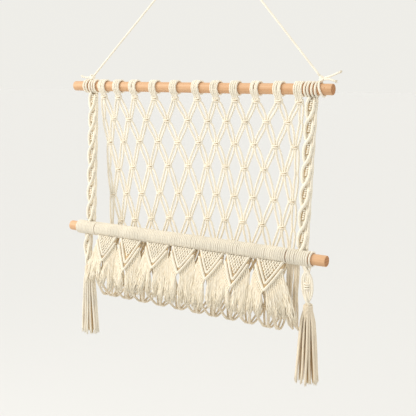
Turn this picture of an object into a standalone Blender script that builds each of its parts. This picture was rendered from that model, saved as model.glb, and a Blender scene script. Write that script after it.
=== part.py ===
"""Macrame wall hanging with two wooden rods: a knotted net that hangs from the top rod, turns
up at its foot and is hitched to a front rod, so that it makes a flat pocket. Seven pointed
flaps with fringe hang from the front rod, a knotted strap joins the rods at each side and
ends in a tassel, and a cord over the top rod carries it all.

Everything is laid out from the middle of the top rod's axis, in metres: +X to the right as
seen from the front, +Y to the back, +Z up. An empty then moves the whole to the hanging
point, the top of the cord, which is the origin.
"""

import math
from typing import NamedTuple

import bmesh
import bpy
from mathutils import Matrix, Vector

MM = 0.001
GAP = 0.0003  # between two pieces that touch

# The hanging point and the rods
HANGING_POINT = Vector((0.028, 0.004, 0.212))
ROD_LENGTH = 0.450
ROD_RADIUS = 0.0075
ROD_SIDES = 24
ROD_CHAMFER = 0.0008
TOP_ROD = Vector((0.0, 0.0, 0.0))
FRONT_ROD = Vector((0.011, -0.030, -0.222))

# The cotton cord, and what it makes where it goes round a rod
CORD = 0.0031
LOOP_SIDES = 10
LOOP_BORE = ROD_RADIUS + GAP  # to the flats of the loop's inner wall
LOOP_CREST = LOOP_BORE + CORD
LOOP_VALLEY = LOOP_CREST - 0.4 * CORD
IN_THE_WALL = LOOP_BORE + 0.4 * CORD  # how far from the rod's axis a strand ends in a loop

# The net's lark's heads on the top rod, from left to right, four strands each
LARKS_HEADS = (
    *(-0.1643, -0.1353, -0.1033, -0.0653, -0.0275, 0.0122),
    *(0.0445, 0.0769, 0.1102, 0.1458, 0.1769),
)
STRANDS_EACH = 4
NET_MIDDLE = (LARKS_HEADS[0] + LARKS_HEADS[-1]) / 2
NET_HALF = (LARKS_HEADS[-1] - LARKS_HEADS[0]) / 2
SIDE_BY_SIDE = CORD + 2 * GAP  # pitch of strands that lie together without a knot
KNOT_HALF_HEIGHT = 0.0042
KNOT_BULGE = 0.0037  # half of a knot's thickness at its ridge


class Row(NamedTuple):
    """A row of knots, or of strands lying together, across the net."""

    knotted: bool
    depth: float
    left: float  # height at the net's left edge, middle and right edge
    middle: float
    right: float
    width: float  # against the width at the top rod


NET_ROWS = (
    Row(True, 0.000, -0.0185, -0.0185, -0.0185, 1.000),
    Row(True, 0.001, -0.0504, -0.0485, -0.0443, 0.985),
    Row(False, 0.002, -0.0872, -0.0803, -0.0783, 0.957),
    Row(True, 0.003, -0.1318, -0.1145, -0.1153, 0.950),
    Row(False, 0.003, -0.1710, -0.1560, -0.1544, 0.940),
    Row(True, 0.003, -0.2160, -0.1930, -0.1930, 0.930),
    Row(False, 0.002, -0.2480, -0.2310, -0.2300, 0.920),
    Row(False, 0.000, -0.2800, -0.2690, -0.2680, 0.910),
    Row(False, -0.008, -0.3110, -0.3080, -0.3060, 0.900),
    Row(False, -0.026, -0.3285, -0.3285, -0.3285, 0.900),
    Row(False, -0.043, -0.3020, -0.3000, -0.2990, 0.900),
    Row(False, -0.044, -0.2670, -0.2650, -0.2640, 0.895),
)


class Panel(NamedTuple):
    """A part of the net, from one of its rows to another. A bar or its knots hold its strands."""

    name: str
    first: int
    last: int
    bar: int  # the row, its first or last, where a bar fuses its strands, or 0 for none


# The back wall is flat, and the pocket's front wall bends at rows 9 and 11
NET_PANELS = (
    Panel("net", 0, 7, 0),
    Panel("pocket_foot", 7, 9, 9),
    Panel("pocket_front", 9, 11, 9),
    Panel("pocket_hitches", 11, len(NET_ROWS), 0),
)
BAR_WIDTH = 0.0030

# Where the net is hitched to the front rod
NET_HITCHES = (-0.1595, 0.1790)
NET_HITCH_RIBS = 22


class Flap(NamedTuple):
    """A pointed flap under the front rod."""

    middle: float
    width: float
    length: float
    point: float  # how far its point is to the right of its middle
    lean: float  # of its fringe, to the right


FLAPS = (
    Flap(-0.1334, 0.0394, 0.038, 0.002, -0.001),
    Flap(-0.0866, 0.0418, 0.046, 0.001, 0.001),
    Flap(-0.0350, 0.0419, 0.036, 0.000, -0.002),
    Flap(0.0122, 0.0419, 0.037, 0.000, 0.001),
    Flap(0.0611, 0.0412, 0.039, 0.000, -0.001),
    Flap(0.1047, 0.0397, 0.043, 0.000, 0.000),
    Flap(0.1562, 0.0430, 0.042, 0.000, 0.003),
)
FLAP_TILT = math.radians(25)  # forward from straight down
FLAP_SEAT = math.radians(38)  # where it leaves the front rod's hitches, forward from below
FLAP_POINT = 0.007  # width at its point
FLAP_ROWS = (0.0, 0.22, 0.44, 0.66, 0.85, 1.0)  # down the flap, as parts of its length


class Rib(NamedTuple):
    """A line down a flap's face: how far out it runs, and how far it is raised."""

    out: float
    rise: float


FLAP_RIBS = (Rib(1.0, 0.0003), Rib(0.84, 0.0020), Rib(0.64, 0.0))
FLAP_KNOT_OUT = 0.33  # the knots inside the ridges lie at this part of the half width, or in the middle
FLAP_KNOT_RISE = 0.0013
FRINGE_FOOT = -0.3075
FRINGE_FAN = 1.08
FRINGE_WIDTH = 0.0029
FRINGE_TIP = 0.0016
FRINGE_DEPTH = -0.0575


class Strap(NamedTuple):
    """A strap from the top rod past the front rod to its tassel."""

    side: str
    loops: tuple  # X of its two sets of loops on the top rod
    tie: float  # of the hanging cord's ring beside them
    top: float  # of its middle at the top rod
    foot: float  # and at the front rod
    tail: float  # and below it
    tassel: float
    hitches: tuple  # where it is wound on the front rod


STRAPS = (
    Strap(
        side="left",
        loops=(-0.1957, -0.1823),
        tie=-0.1890,
        top=-0.1858,
        foot=-0.1740,
        tail=-0.1775,
        tassel=-0.1750,
        hitches=(-0.1970, NET_HITCHES[0] - GAP),
    ),
    Strap(
        side="right",
        loops=(0.1896, 0.1999),
        tie=0.2090,
        top=0.1966,
        foot=0.2000,
        tail=0.2090,
        tassel=0.2130,
        hitches=(NET_HITCHES[1] + GAP, 0.2165),
    ),
)
STRAP_HALF = 0.0106
STRAP_HITCH_RIBS = 5
STRAP_COLUMNS = (-1.0, -0.70, -0.15, 0.15, 0.70, 1.0)  # as parts of the half width
STRAP_OPEN = (1, 3)  # the columns that are open between two ridges
SENNIT_PITCH = 0.029
SENNIT_RIDGE = (0.0, 0.0038, 0.0076)  # upper edge, crest and lower edge of a slanting ridge
SENNIT_SLOPE = 1.15  # how steeply a ridge falls to the left
SENNIT_CREST = 0.0031  # half of its thickness at a ridge's crest
STRAP_LOOPS_HALF = 0.0048  # half the width of a set of loops
STRAP_NECK_FOOT = -0.0165
LOWER_SENNIT_FOOT = -0.2817
LOWER_SENNIT_WAIST = ((0.0, 0.62), (0.45, 0.92), (1.0, 0.46))  # down the length: part of the width

# Tassels
TASSEL_DEPTH = -0.036
TASSEL_HEAD = (LOWER_SENNIT_FOOT - GAP, -0.300)
TASSEL_HEAD_RADIUS = 0.0066
TASSEL_HEAD_TURNS = 4
TASSEL_STRANDS_ACROSS = 4
TASSEL_STRAND = 0.0027
TASSEL_SPREAD = ((0.012, 1.55, 1.40), (0.095, 3.05, 2.30))  # drop, spread across and in depth

# The hanging cord and its ties
HANGER_RADIUS = 0.0015
HANGER_BEND = 0.006  # radius of its bight
HANGER_POINTS = 64
TIE_HALF = 0.0016
TIE_KNOT_RADIUS = 0.0044
TIE_KNOT_HEIGHT = LOOP_CREST + TIE_KNOT_RADIUS + GAP
TIE_TAILS = {  # each from the knot's middle
    "left": (((-0.004, 0, 0), (-0.0115, -0.001, -0.0004), (-0.018, -0.002, 0.0008)),),
    "right": (
        ((0.003, 0, 0.001), (0.0150, -0.002, 0.0045), (0.026, -0.004, 0.0085)),
        ((0.004, -0.002, -0.0006), (0.0115, -0.003, -0.0004), (0.019, -0.003, -0.0026)),
    ),
}
TAIL_WIDTH = 0.0026

# Colours, linear
COTTON = (0.80, 0.75, 0.65)
FLAP_COTTON = (0.80, 0.74, 0.63)
FRINGED_COTTON = (0.82, 0.77, 0.68)
HANGER_COTTON = (0.84, 0.79, 0.70)
WOOD = (0.66, 0.40, 0.24)
FRONT_WOOD = (0.62, 0.36, 0.21)


def clear_scene():
    for old in list(bpy.data.objects):
        bpy.data.objects.remove(old, do_unlink=True)


def material(name, colour, roughness):
    new = bpy.data.materials.new(name)
    new.use_nodes = True
    shader = new.node_tree.nodes["Principled BSDF"]
    shader.inputs["Base Color"].default_value = (*colour, 1.0)
    shader.inputs["Roughness"].default_value = roughness
    shader.inputs["Metallic"].default_value = 0.0
    return new


def add_object(name, bm, finish, helper=False):
    """A new object from a bmesh with its faces turned outwards."""
    bmesh.ops.recalc_face_normals(bm, faces=bm.faces)
    if bm.calc_volume(signed=True) < 0:
        bmesh.ops.reverse_faces(bm, faces=bm.faces)
    mesh = bpy.data.meshes.new(name)
    bm.to_mesh(mesh)
    bm.free()
    if finish:
        mesh.materials.append(finish)
    new = bpy.data.objects.new(name, mesh)
    bpy.context.scene.collection.objects.link(new)
    if helper:
        new.hide_render = True
        new.display_type = "WIRE"
    return new


def join_solids(base, helpers):
    """Fuses helper solids into a base solid with Boolean unions."""
    for helper in helpers:
        union = base.modifiers.new("Fuse " + helper.name, "BOOLEAN")
        union.operation = "UNION"
        union.object = helper
        helper.parent = base


def skin(bm, first, second):
    """The four walls of a strand between two rings of four points."""
    for i in range(4):
        j = (i + 1) % 4
        bm.faces.new((first[i], second[i], second[j], first[j]))


def square_ring(bm, middle, across, over, width):
    """Four points round a strand; across and over are its directions side to side and in depth."""
    half = width / 2
    corners = ((-1, 1), (1, 1), (1, -1), (-1, -1))
    return [bm.verts.new(middle + across * (a * half) + over * (b * half)) for a, b in corners]


def strand(bm, points, width):
    """A loose strand of square section through some points, closed at both ends."""
    previous = None
    for i, point in enumerate(points):
        ahead = points[min(i + 1, len(points) - 1)] - points[max(i - 1, 0)]
        over = Vector((0, -1, 0))
        across = ahead.cross(over).normalized()
        ring = square_ring(bm, point, across, over, width)
        if previous:
            skin(bm, previous, ring)
        else:
            bm.faces.new(ring)
        previous = ring
    bm.faces.new(previous[::-1])


def ribbed_loops(bm, axis, low, high, ribs):
    """Loops of cord wound side by side round a rod: a sleeve with a ridge for each rib."""
    to_corner = 1 / math.cos(math.pi / LOOP_SIDES)
    steps = 2 * ribs
    profile = [(low, LOOP_BORE * to_corner)]
    for i in range(steps + 1):
        x = low + (high - low) * i / steps
        profile.append((x, LOOP_CREST if i % 2 else LOOP_VALLEY))
    profile.append((high, LOOP_BORE * to_corner))
    turn = math.pi / LOOP_SIDES
    points = [
        bm.verts.new((x, axis.y + r * math.sin(turn), axis.z - r * math.cos(turn))) for x, r in profile
    ]
    edges = [bm.edges.new((points[i], points[(i + 1) % len(points)])) for i in range(len(points))]
    bmesh.ops.spin(
        bm,
        geom=points + edges,
        cent=axis,
        axis=(1, 0, 0),
        angle=2 * math.pi,
        steps=LOOP_SIDES,
        use_merge=True,
    )


def build_rod(name, middle, finish):
    bm = bmesh.new()
    bmesh.ops.create_cone(
        bm, cap_ends=True, segments=ROD_SIDES, radius1=ROD_RADIUS, radius2=ROD_RADIUS, depth=ROD_LENGTH
    )
    bmesh.ops.rotate(bm, verts=bm.verts, matrix=Matrix.Rotation(math.pi / 2, 3, "Y"))
    rims = [e for e in bm.edges if abs(e.verts[0].co.x - e.verts[1].co.x) < MM]
    bmesh.ops.bevel(
        bm, geom=rims, offset=ROD_CHAMFER, offset_type="OFFSET", segments=1, profile=0.5, affect="EDGES"
    )
    rod = add_object(name, bm, finish)
    rod.location = middle
    rod.data.shade_smooth()
    rod.data.set_sharp_from_angle(angle=math.radians(40))
    return rod


# The net


def row_height(row, x):
    """Height of a row at x: the curve through its left, middle and right heights."""
    t = (x - NET_MIDDLE) / NET_HALF
    return row.left * t * (t - 1) / 2 + row.middle * (1 - t * t) + row.right * t * (t + 1) / 2


def seat(row_index, strand_index):
    """Where a strand lies in a row: its knot's middle, its place in the knot, and the knot.

    In the odd rows a knot takes two strands from each neighbour, and the outermost two
    strands on each side of the net belong to no knot."""
    group, place = divmod(strand_index, STRANDS_EACH)
    half = STRANDS_EACH // 2
    if row_index % 2 == 0:
        return LARKS_HEADS[group], place, group
    if place < half and group > 0:
        return (LARKS_HEADS[group - 1] + LARKS_HEADS[group]) / 2, place + half, group - 1
    if place >= half and group < len(LARKS_HEADS) - 1:
        return (LARKS_HEADS[group] + LARKS_HEADS[group + 1]) / 2, place - half, group
    return LARKS_HEADS[group], place, None


def on_net(row, x):
    """A point of a row, for an x at the top rod: the net narrows as it hangs."""
    return Vector((NET_MIDDLE + (x - NET_MIDDLE) * row.width, row.depth, row_height(row, x)))


def knot_ring(bm, middle, height, half_depth, swell):
    """The outline of a knot at one height: five points along its front and five along its back."""
    columns = [(i - STRANDS_EACH / 2) * CORD * swell for i in range(STRANDS_EACH + 1)]
    front = [bm.verts.new(middle + Vector((x, -half_depth, height))) for x in columns]
    back = [bm.verts.new(middle + Vector((x, half_depth, height))) for x in columns]
    return front, back


def square_knot(bm, middle, collar=0.0):
    """A ridged knot of four strands. Returns the four places where strands join it above and
    below. With a collar it has no strands above and reaches up by that much, closed."""
    levels = [(KNOT_HALF_HEIGHT, CORD / 2, 1.0), (0.0, KNOT_BULGE, 1.1), (-KNOT_HALF_HEIGHT, CORD / 2, 1.0)]
    if collar:
        levels.insert(0, (KNOT_HALF_HEIGHT + collar, CORD / 2, 0.98))
    rings = [knot_ring(bm, middle, *level) for level in levels]
    for (front_a, back_a), (front_b, back_b) in zip(rings, rings[1:]):
        round_a, round_b = front_a + back_a[::-1], front_b + back_b[::-1]
        for i in range(len(round_a)):
            j = (i + 1) % len(round_a)
            bm.faces.new((round_a[i], round_b[i], round_b[j], round_a[j]))
    above, below = (
        [[front[i], front[i + 1], back[i + 1], back[i]] for i in range(STRANDS_EACH)]
        for front, back in (rings[0], rings[-1])
    )
    if collar:
        for place in above:
            bm.faces.new(place)
    return above, below


def in_row(row_index, strand_index):
    """Where a strand lies beside its neighbours in a row without a knot."""
    middle, place, _ = seat(row_index, strand_index)
    at = on_net(NET_ROWS[row_index], middle)
    at.x += (place - (STRANDS_EACH - 1) / 2) * SIDE_BY_SIDE
    return at


def net_ring(bm, before, at, after, ahead=0.0):
    """A strand's ring where it comes from one point and goes on to another. The net's inside,
    the front at its back wall, comes first in the ring, as in a knot's places."""
    along = after - before
    along.x = 0
    along.normalize()
    return square_ring(bm, at + along * ahead, Vector((1, 0, 0)), Vector((0, along.z, -along.y)), CORD)


def net_strand(bm, strand_index, knots, panel, path):
    """One strand of a panel, from the panel's first row, or from its knot there, to the last.
    Returns its rings, and leaves the walls of the stretch in a bar to net_bar."""
    _, place, knot = seat(panel.first, strand_index)
    if (panel.first, knot) in knots:
        rings = [knots[panel.first, knot][1][place]]
    else:
        rings = [net_ring(bm, *path[panel.first - 1 : panel.first + 2], GAP / 2)]
        bm.faces.new(rings[0])
        if panel.bar == panel.first:
            before, at, after = path[panel.bar - 1 : panel.bar + 2]
            towards = (after - at).normalized()
            rings.append(net_ring(bm, at, at + towards * BAR_WIDTH, after))
    for index in range(panel.first + 1, min(panel.last + 1, len(NET_ROWS))):
        before, at, after = path[index - 1 : index + 2]
        _, place, knot = seat(index, strand_index)
        if (index, knot) not in knots:
            if panel.bar == index:
                towards = (before - at).normalized()
                bar_edge = net_ring(bm, before, at + towards * BAR_WIDTH, at)
                skin(bm, rings[-1], bar_edge)
                rings += [bar_edge, net_ring(bm, before, at, after, -GAP / 2)]
                continue
            rings.append(net_ring(bm, before, at, after, -GAP / 2 if index == panel.last else 0.0))
            skin(bm, *rings[-2:])
            continue
        if NET_ROWS[index - 1].knotted:
            rings.append(net_ring(bm, before, before.lerp(at, 0.5), at))
            skin(bm, *rings[-2:])
        above, below = knots[index, knot]
        skin(bm, rings[-1], above[place])
        rings.append(below[place])
    if panel.last == len(NET_ROWS):
        rings.append(square_ring(bm, path[-1], Vector((1, 0, 0)), Vector((0, 1, 0)), CORD))
        skin(bm, *rings[-2:])
    bm.faces.new(rings[-1][::-1])
    return rings


def net_bar(bm, panel, strands):
    """The bar that fuses a panel's strands at one of its ends: a flat strip across them all."""
    pairs = [rings[:2] if panel.bar == panel.first else rings[-2:] for rings in strands]
    for first, second in pairs:
        for i in (0, 2):
            bm.faces.new((first[i], second[i], second[i + 1], first[(i + 1) % 4]))
    for (a, b), (c, d) in zip(pairs, pairs[1:]):
        bm.faces.new((a[1], b[1], d[0], c[0]))
        bm.faces.new((a[2], c[3], d[3], b[2]))
        bm.faces.new((a[1], c[0], c[3], a[2]))
        bm.faces.new((b[1], b[2], d[3], d[0]))
    for (first, second), i, j in ((pairs[0], 3, 0), (pairs[-1], 1, 2)):
        bm.faces.new((first[i], second[i], second[j], first[j]))


def knots_of(panel):
    """A fresh bmesh with a panel's knots, and the places of each for its strands."""
    bm = bmesh.new()
    knots = {}
    for index in range(panel.first, min(panel.last, len(NET_ROWS))):
        row = NET_ROWS[index]
        if not row.knotted:
            continue
        for strand_index in range(len(LARKS_HEADS) * STRANDS_EACH):
            middle, place, knot = seat(index, strand_index)
            if knot is not None and place == 0:
                at = on_net(row, middle)
                collar = -IN_THE_WALL - (at.z + KNOT_HALF_HEIGHT) if index == 0 else 0.0
                knots[index, knot] = square_knot(bm, at, collar)
    return bm, knots


def net_paths():
    """The path of each of the forty-four strands, from its lark's head to the front rod."""
    low, high = NET_HITCHES
    strands = len(LARKS_HEADS) * STRANDS_EACH
    paths = []
    for strand_index in range(strands):
        path = [in_row(index, strand_index) for index in range(len(NET_ROWS))]
        x = low + (high - low) * (strand_index + 0.5) / strands
        paths.append(path + [Vector((x, FRONT_ROD.y, FRONT_ROD.z - IN_THE_WALL))])
    return paths


def build_panel(panel, finish):
    """A panel of the net: its strands and knots, with its loops round a rod or its bar."""
    bm, knots = knots_of(panel)
    strands = [net_strand(bm, i, knots, panel, path) for i, path in enumerate(net_paths())]
    if panel.bar:
        net_bar(bm, panel, strands)
    made = add_object(panel.name, bm, finish)
    helpers = []
    if panel.first == 0:
        heads = bmesh.new()
        for x in LARKS_HEADS:
            half = STRANDS_EACH * CORD / 2
            ribbed_loops(heads, TOP_ROD, x - half, x + half, STRANDS_EACH // 2)
        helpers.append(add_object("net_larks_heads", heads, None, helper=True))
    if panel.last == len(NET_ROWS):
        hitches = bmesh.new()
        ribbed_loops(hitches, FRONT_ROD, *NET_HITCHES, NET_HITCH_RIBS)
        helpers.append(add_object("net_hitches", hitches, None, helper=True))
    join_solids(made, helpers)
    return made


# The flaps


def grow_lock(bm, root, across, over, stations):
    """Extrudes a face into a lock of fringe through stations of (middle, width)."""
    face = root
    middle = root.calc_center_median()
    for station, width in stations:
        signs = [
            (math.copysign(1, (v.co - middle).dot(across)), math.copysign(1, (v.co - middle).dot(over)))
            for v in face.verts
        ]
        face = bmesh.ops.extrude_discrete_faces(bm, faces=[face])["faces"][0]
        for vert, (a, b) in zip(face.verts, signs):
            vert.co = station + across * (a * width / 2) + Vector((0, -1, 0)) * (b * width / 2)
        middle = station
        over = Vector((0, -1, 0))


def flap_rise(column, row_index, ribs):
    """How far a point of a flap's face is raised: ridges down both sides, knots between."""
    if column < len(ribs):
        return ribs[column].rise
    is_middle = column > len(ribs)
    return FLAP_KNOT_RISE * (is_middle == (row_index % 2 == 0))


def build_flap(number, flap, finish):
    down = Vector((0, -math.sin(FLAP_TILT), -math.cos(FLAP_TILT)))
    out = Vector((0, -math.cos(FLAP_TILT), math.sin(FLAP_TILT)))
    reach = LOOP_CREST + 0.7 * MM
    top = FRONT_ROD + Vector((0, -math.sin(FLAP_SEAT), -math.cos(FLAP_SEAT))) * reach
    top.x = flap.middle
    side = [rib.out for rib in FLAP_RIBS] + [FLAP_KNOT_OUT]
    columns = [-u for u in side] + [0.0] + side[::-1]
    bm = bmesh.new()
    bmesh.ops.create_grid(bm, x_segments=len(columns) - 1, y_segments=len(FLAP_ROWS) - 1, size=1)
    back = sorted(bm.verts, key=lambda v: (-round(v.co.y, 4), v.co.x))
    lifted = bmesh.ops.extrude_face_region(bm, geom=bm.faces[:], use_keep_orig=True)["geom"]
    front = sorted(
        (g for g in lifted if isinstance(g, bmesh.types.BMVert)), key=lambda v: (-round(v.co.y, 4), v.co.x)
    )
    for index in range(len(columns) * len(FLAP_ROWS)):
        row, column = divmod(index, len(columns))
        from_edge = min(column, len(columns) - 1 - column)
        v = FLAP_ROWS[row]
        width = flap.width + (FLAP_POINT - flap.width) * v
        at = top + down * (flap.length * v) + Vector((columns[column] * width / 2 + flap.point * v, 0, 0))
        back[index].co = at - out * (CORD / 2)
        front[index].co = at + out * (CORD / 2 + flap_rise(from_edge, row, FLAP_RIBS))
    bm.normal_update()
    rear = set(back)
    flat_back = [f for f in bm.faces if rear.issuperset(f.verts)]
    rims = [f for f in bm.faces if 0 < len(rear.intersection(f.verts)) < len(f.verts)]
    sides = [f for f in rims if abs(f.normal.x) > 0.5]
    bmesh.ops.dissolve_faces(bm, faces=flat_back)
    grow_fringe(bm, flap, sides, out)
    return add_object(f"flap_{number}", bm, finish)


def grow_fringe(bm, flap, sides, out):
    """A lock of fringe from each stretch of the flap's two slanting edges."""
    across = Vector((1, 0, 0))
    for order, face in enumerate(sorted(sides, key=lambda f: f.calc_center_median().x)):
        root = face.calc_center_median()
        away = math.copysign(1, root.x - flap.middle)
        foot = FRINGE_FOOT - 3 * MM * math.sin(2.4 * order + 40 * flap.middle)
        fan = flap.middle + (root.x - flap.middle) * FRINGE_FAN
        start = root + Vector((away * 0.9 * MM, -0.3 * MM, -7.5 * MM))
        end = Vector((fan + away * MM + flap.lean, FRINGE_DEPTH + MM * math.sin(1.7 * order), foot))
        half_way = (start + end) / 2
        half_way.y = FRINGE_DEPTH
        grow_lock(
            bm, face, across, out, ((start, FRINGE_WIDTH), (half_way, FRINGE_WIDTH), (end, FRINGE_TIP))
        )


# The straps


def bisect_and_close(bm, height, keep_below):
    """Cuts a solid level at a height and closes the cut."""
    normal = (0, 0, 1) if keep_below else (0, 0, -1)
    bmesh.ops.bisect_plane(
        bm,
        geom=bm.verts[:] + bm.edges[:] + bm.faces[:],
        dist=1e-7,
        plane_co=(0, 0, height),
        plane_no=normal,
        clear_outer=True,
    )
    bmesh.ops.holes_fill(bm, edges=[e for e in bm.edges if e.is_boundary], sides=0)


def sennit(length):
    """A length of strap in the XZ plane, hanging from the origin: outer and middle strands
    with a slanting ridge across them at each repeat, open between."""
    bm = bmesh.new()
    spare = STRAP_HALF * SENNIT_SLOPE
    repeats = math.ceil((length + 2 * spare) / SENNIT_PITCH) + 1
    downs = [spare + SENNIT_PITCH - r * SENNIT_PITCH - edge for r in range(repeats) for edge in SENNIT_RIDGE]
    grid = {}
    for j, z in enumerate(downs):
        for i, u in enumerate(STRAP_COLUMNS):
            x = u * STRAP_HALF
            grid[i, j] = bm.verts.new((x, 0, z + x * SENNIT_SLOPE))
    ridge_lines = len(SENNIT_RIDGE)
    for j in range(len(downs) - 1):
        between = j % ridge_lines == ridge_lines - 1
        for i in range(len(STRAP_COLUMNS) - 1):
            if not (between and i in STRAP_OPEN):
                bm.faces.new((grid[i, j], grid[i + 1, j], grid[i + 1, j + 1], grid[i, j + 1]))
    lifted = bmesh.ops.extrude_face_region(bm, geom=bm.faces[:], use_keep_orig=True)["geom"]
    at = {tuple(round(c, 7) for c in vert.co): key for key, vert in grid.items()}
    for new in [g for g in lifted if isinstance(g, bmesh.types.BMVert)]:
        key = at[tuple(round(c, 7) for c in new.co)]
        half = SENNIT_CREST if key[1] % ridge_lines == 1 else CORD / 2
        new.co.y = -half
        grid[key].co.y = half
    bmesh.ops.recalc_face_normals(bm, faces=bm.faces)
    bisect_and_close(bm, 0.0, keep_below=True)
    bisect_and_close(bm, -length, keep_below=False)
    return bm


def hang_between(bm, length, upper, lower):
    """Leans a hanging length so that it runs from the upper to the lower point."""
    for vert in bm.verts:
        part = -vert.co.z / length
        line = upper.lerp(lower, part)
        vert.co = Vector((line.x + vert.co.x, line.y + vert.co.y, line.z))


def waist(table, part):
    """The width at a part of the way down, read along a table of (part, width)."""
    for (a, low), (b, high) in zip(table, table[1:]):
        if part <= b:
            return low + (high - low) * (part - a) / (b - a)
    return table[-1][1]


def box(bm, low, high):
    made = bmesh.ops.create_cube(bm, size=1)["verts"]
    bmesh.ops.scale(bm, verts=made, vec=high - low)
    bmesh.ops.translate(bm, verts=made, vec=(low + high) / 2)


def strap_heading(strap):
    """Two sets of loops over the top rod."""
    bm = bmesh.new()
    for x in strap.loops:
        ribbed_loops(bm, TOP_ROD, x - STRAP_LOOPS_HALF, x + STRAP_LOOPS_HALF, 2)
    return bm


def strap_necks(strap):
    """The strands that come down from each set of loops, side by side."""
    bm = bmesh.new()
    for x in strap.loops:
        half = STRAP_LOOPS_HALF - GAP
        low = Vector((x - half, -0.0042, STRAP_NECK_FOOT))
        high = Vector((x + half, 0.0008, -IN_THE_WALL))
        box(bm, low, high)
    return bm


def build_strap(strap, finish):
    upper = Vector((strap.top, -0.0018, STRAP_NECK_FOOT + 3.2 * MM))
    lower = FRONT_ROD + Vector((0, 0.002, IN_THE_WALL))
    lower.x = strap.foot
    length = (upper - lower).length
    bm = sennit(length)
    hang_between(bm, length, upper, lower)
    body = add_object(f"strap_{strap.side}", bm, finish)
    upper = FRONT_ROD + Vector((0, -0.003, -IN_THE_WALL + 0.4 * MM))
    upper.x = strap.tail
    lower = Vector((strap.tassel, TASSEL_DEPTH, LOWER_SENNIT_FOOT))
    length = upper.z - lower.z
    bm = sennit(length)
    for vert in bm.verts:
        vert.co.x *= waist(LOWER_SENNIT_WAIST, -vert.co.z / length)
    hang_between(bm, length, upper, lower)
    tail = add_object(f"strap_{strap.side}_tail", bm, None, helper=True)
    bm = bmesh.new()
    ribbed_loops(bm, FRONT_ROD, *strap.hitches, STRAP_HITCH_RIBS)
    hitches = add_object(f"strap_{strap.side}_hitches", bm, None, helper=True)
    heading = add_object(f"strap_{strap.side}_heading", strap_heading(strap), None, helper=True)
    necks = add_object(f"strap_{strap.side}_necks", strap_necks(strap), None, helper=True)
    join_solids(body, (necks, heading, hitches, tail))
    return body


# The tassels


def build_tassel(strap, finish):
    """A head of wound cord with sixteen strands that spread as they hang."""
    middle = Vector((strap.tassel, TASSEL_DEPTH, 0))
    top, foot = TASSEL_HEAD
    bm = bmesh.new()
    bmesh.ops.create_grid(bm, x_segments=TASSEL_STRANDS_ACROSS, y_segments=TASSEL_STRANDS_ACROSS, size=1)
    for vert in bm.verts:
        a, b, _ = vert.co
        radius = 0.9 * TASSEL_HEAD_RADIUS
        rounded = (a * math.sqrt(1 - b * b / 2) * radius, b * math.sqrt(1 - a * a / 2) * radius, foot)
        vert.co = middle + Vector(rounded)
    roots = bm.faces[:]
    region = bm.faces[:]
    steps = 2 * TASSEL_HEAD_TURNS
    for step in range(1, steps + 1):
        made = bmesh.ops.extrude_face_region(bm, geom=region, use_keep_orig=step == 1)["geom"]
        region_before = region
        region = [g for g in made if isinstance(g, bmesh.types.BMFace)]
        if step > 1:
            bmesh.ops.delete(bm, geom=[f for f in region_before if f.is_valid], context="FACES_ONLY")
        size = 1 / 0.9 if step % 2 else 0.9
        for vert in {v for f in region for v in f.verts}:
            vert.co.x = middle.x + (vert.co.x - middle.x) * size
            vert.co.y = middle.y + (vert.co.y - middle.y) * size
            vert.co.z = foot + (top - foot) * step / steps
    bmesh.ops.dissolve_faces(bm, faces=region)
    across = Vector((1, 0, 0))
    roots.sort(key=lambda face: tuple(round(c, 6) for c in face.calc_center_median()))
    for order, root in enumerate(roots):
        start = root.calc_center_median() - middle
        stations = []
        for drop, spread, deep in TASSEL_SPREAD:
            sway = 0.5 * MM * math.sin(2.1 * order + 30 * drop)
            shorter = 1.5 * MM * math.sin(1.3 * order) if drop == TASSEL_SPREAD[-1][0] else 0.0
            at = middle + Vector((start.x * spread + sway, start.y * deep, foot - drop + shorter))
            stations.append((at, TASSEL_STRAND))
        grow_lock(bm, root, across, Vector((0, -1, 0)), stations)
    return add_object(f"tassel_{strap.side}", bm, finish)


# The hanging cord


def tie_middle(strap):
    return Vector((strap.tie, 0, TIE_KNOT_HEIGHT))


def build_tie(strap, finish):
    """The hanging cord's ring round the top rod, beside a strap's loops, its knot and tails."""
    bm = bmesh.new()
    ribbed_loops(bm, TOP_ROD, strap.tie - TIE_HALF, strap.tie + TIE_HALF, 1)
    tie = add_object(f"tie_{strap.side}", bm, finish)
    knot = tie_middle(strap)
    bm = bmesh.new()
    bmesh.ops.create_icosphere(bm, subdivisions=2, radius=TIE_KNOT_RADIUS)
    bmesh.ops.translate(bm, verts=bm.verts, vec=knot)
    helpers = [add_object(f"tie_{strap.side}_knot", bm, None, helper=True)]
    bm = bmesh.new()
    half = 0.8 * TIE_HALF
    box(bm, Vector((strap.tie - half, -half, IN_THE_WALL)), Vector((strap.tie + half, half, knot.z)))
    helpers.append(add_object(f"tie_{strap.side}_neck", bm, None, helper=True))
    for number, route in enumerate(TIE_TAILS[strap.side]):
        bm = bmesh.new()
        strand(bm, [knot + Vector(point) for point in route], TAIL_WIDTH)
        helpers.append(add_object(f"tie_{strap.side}_tail_{number}", bm, None, helper=True))
    join_solids(tie, helpers)
    return tie


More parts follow.
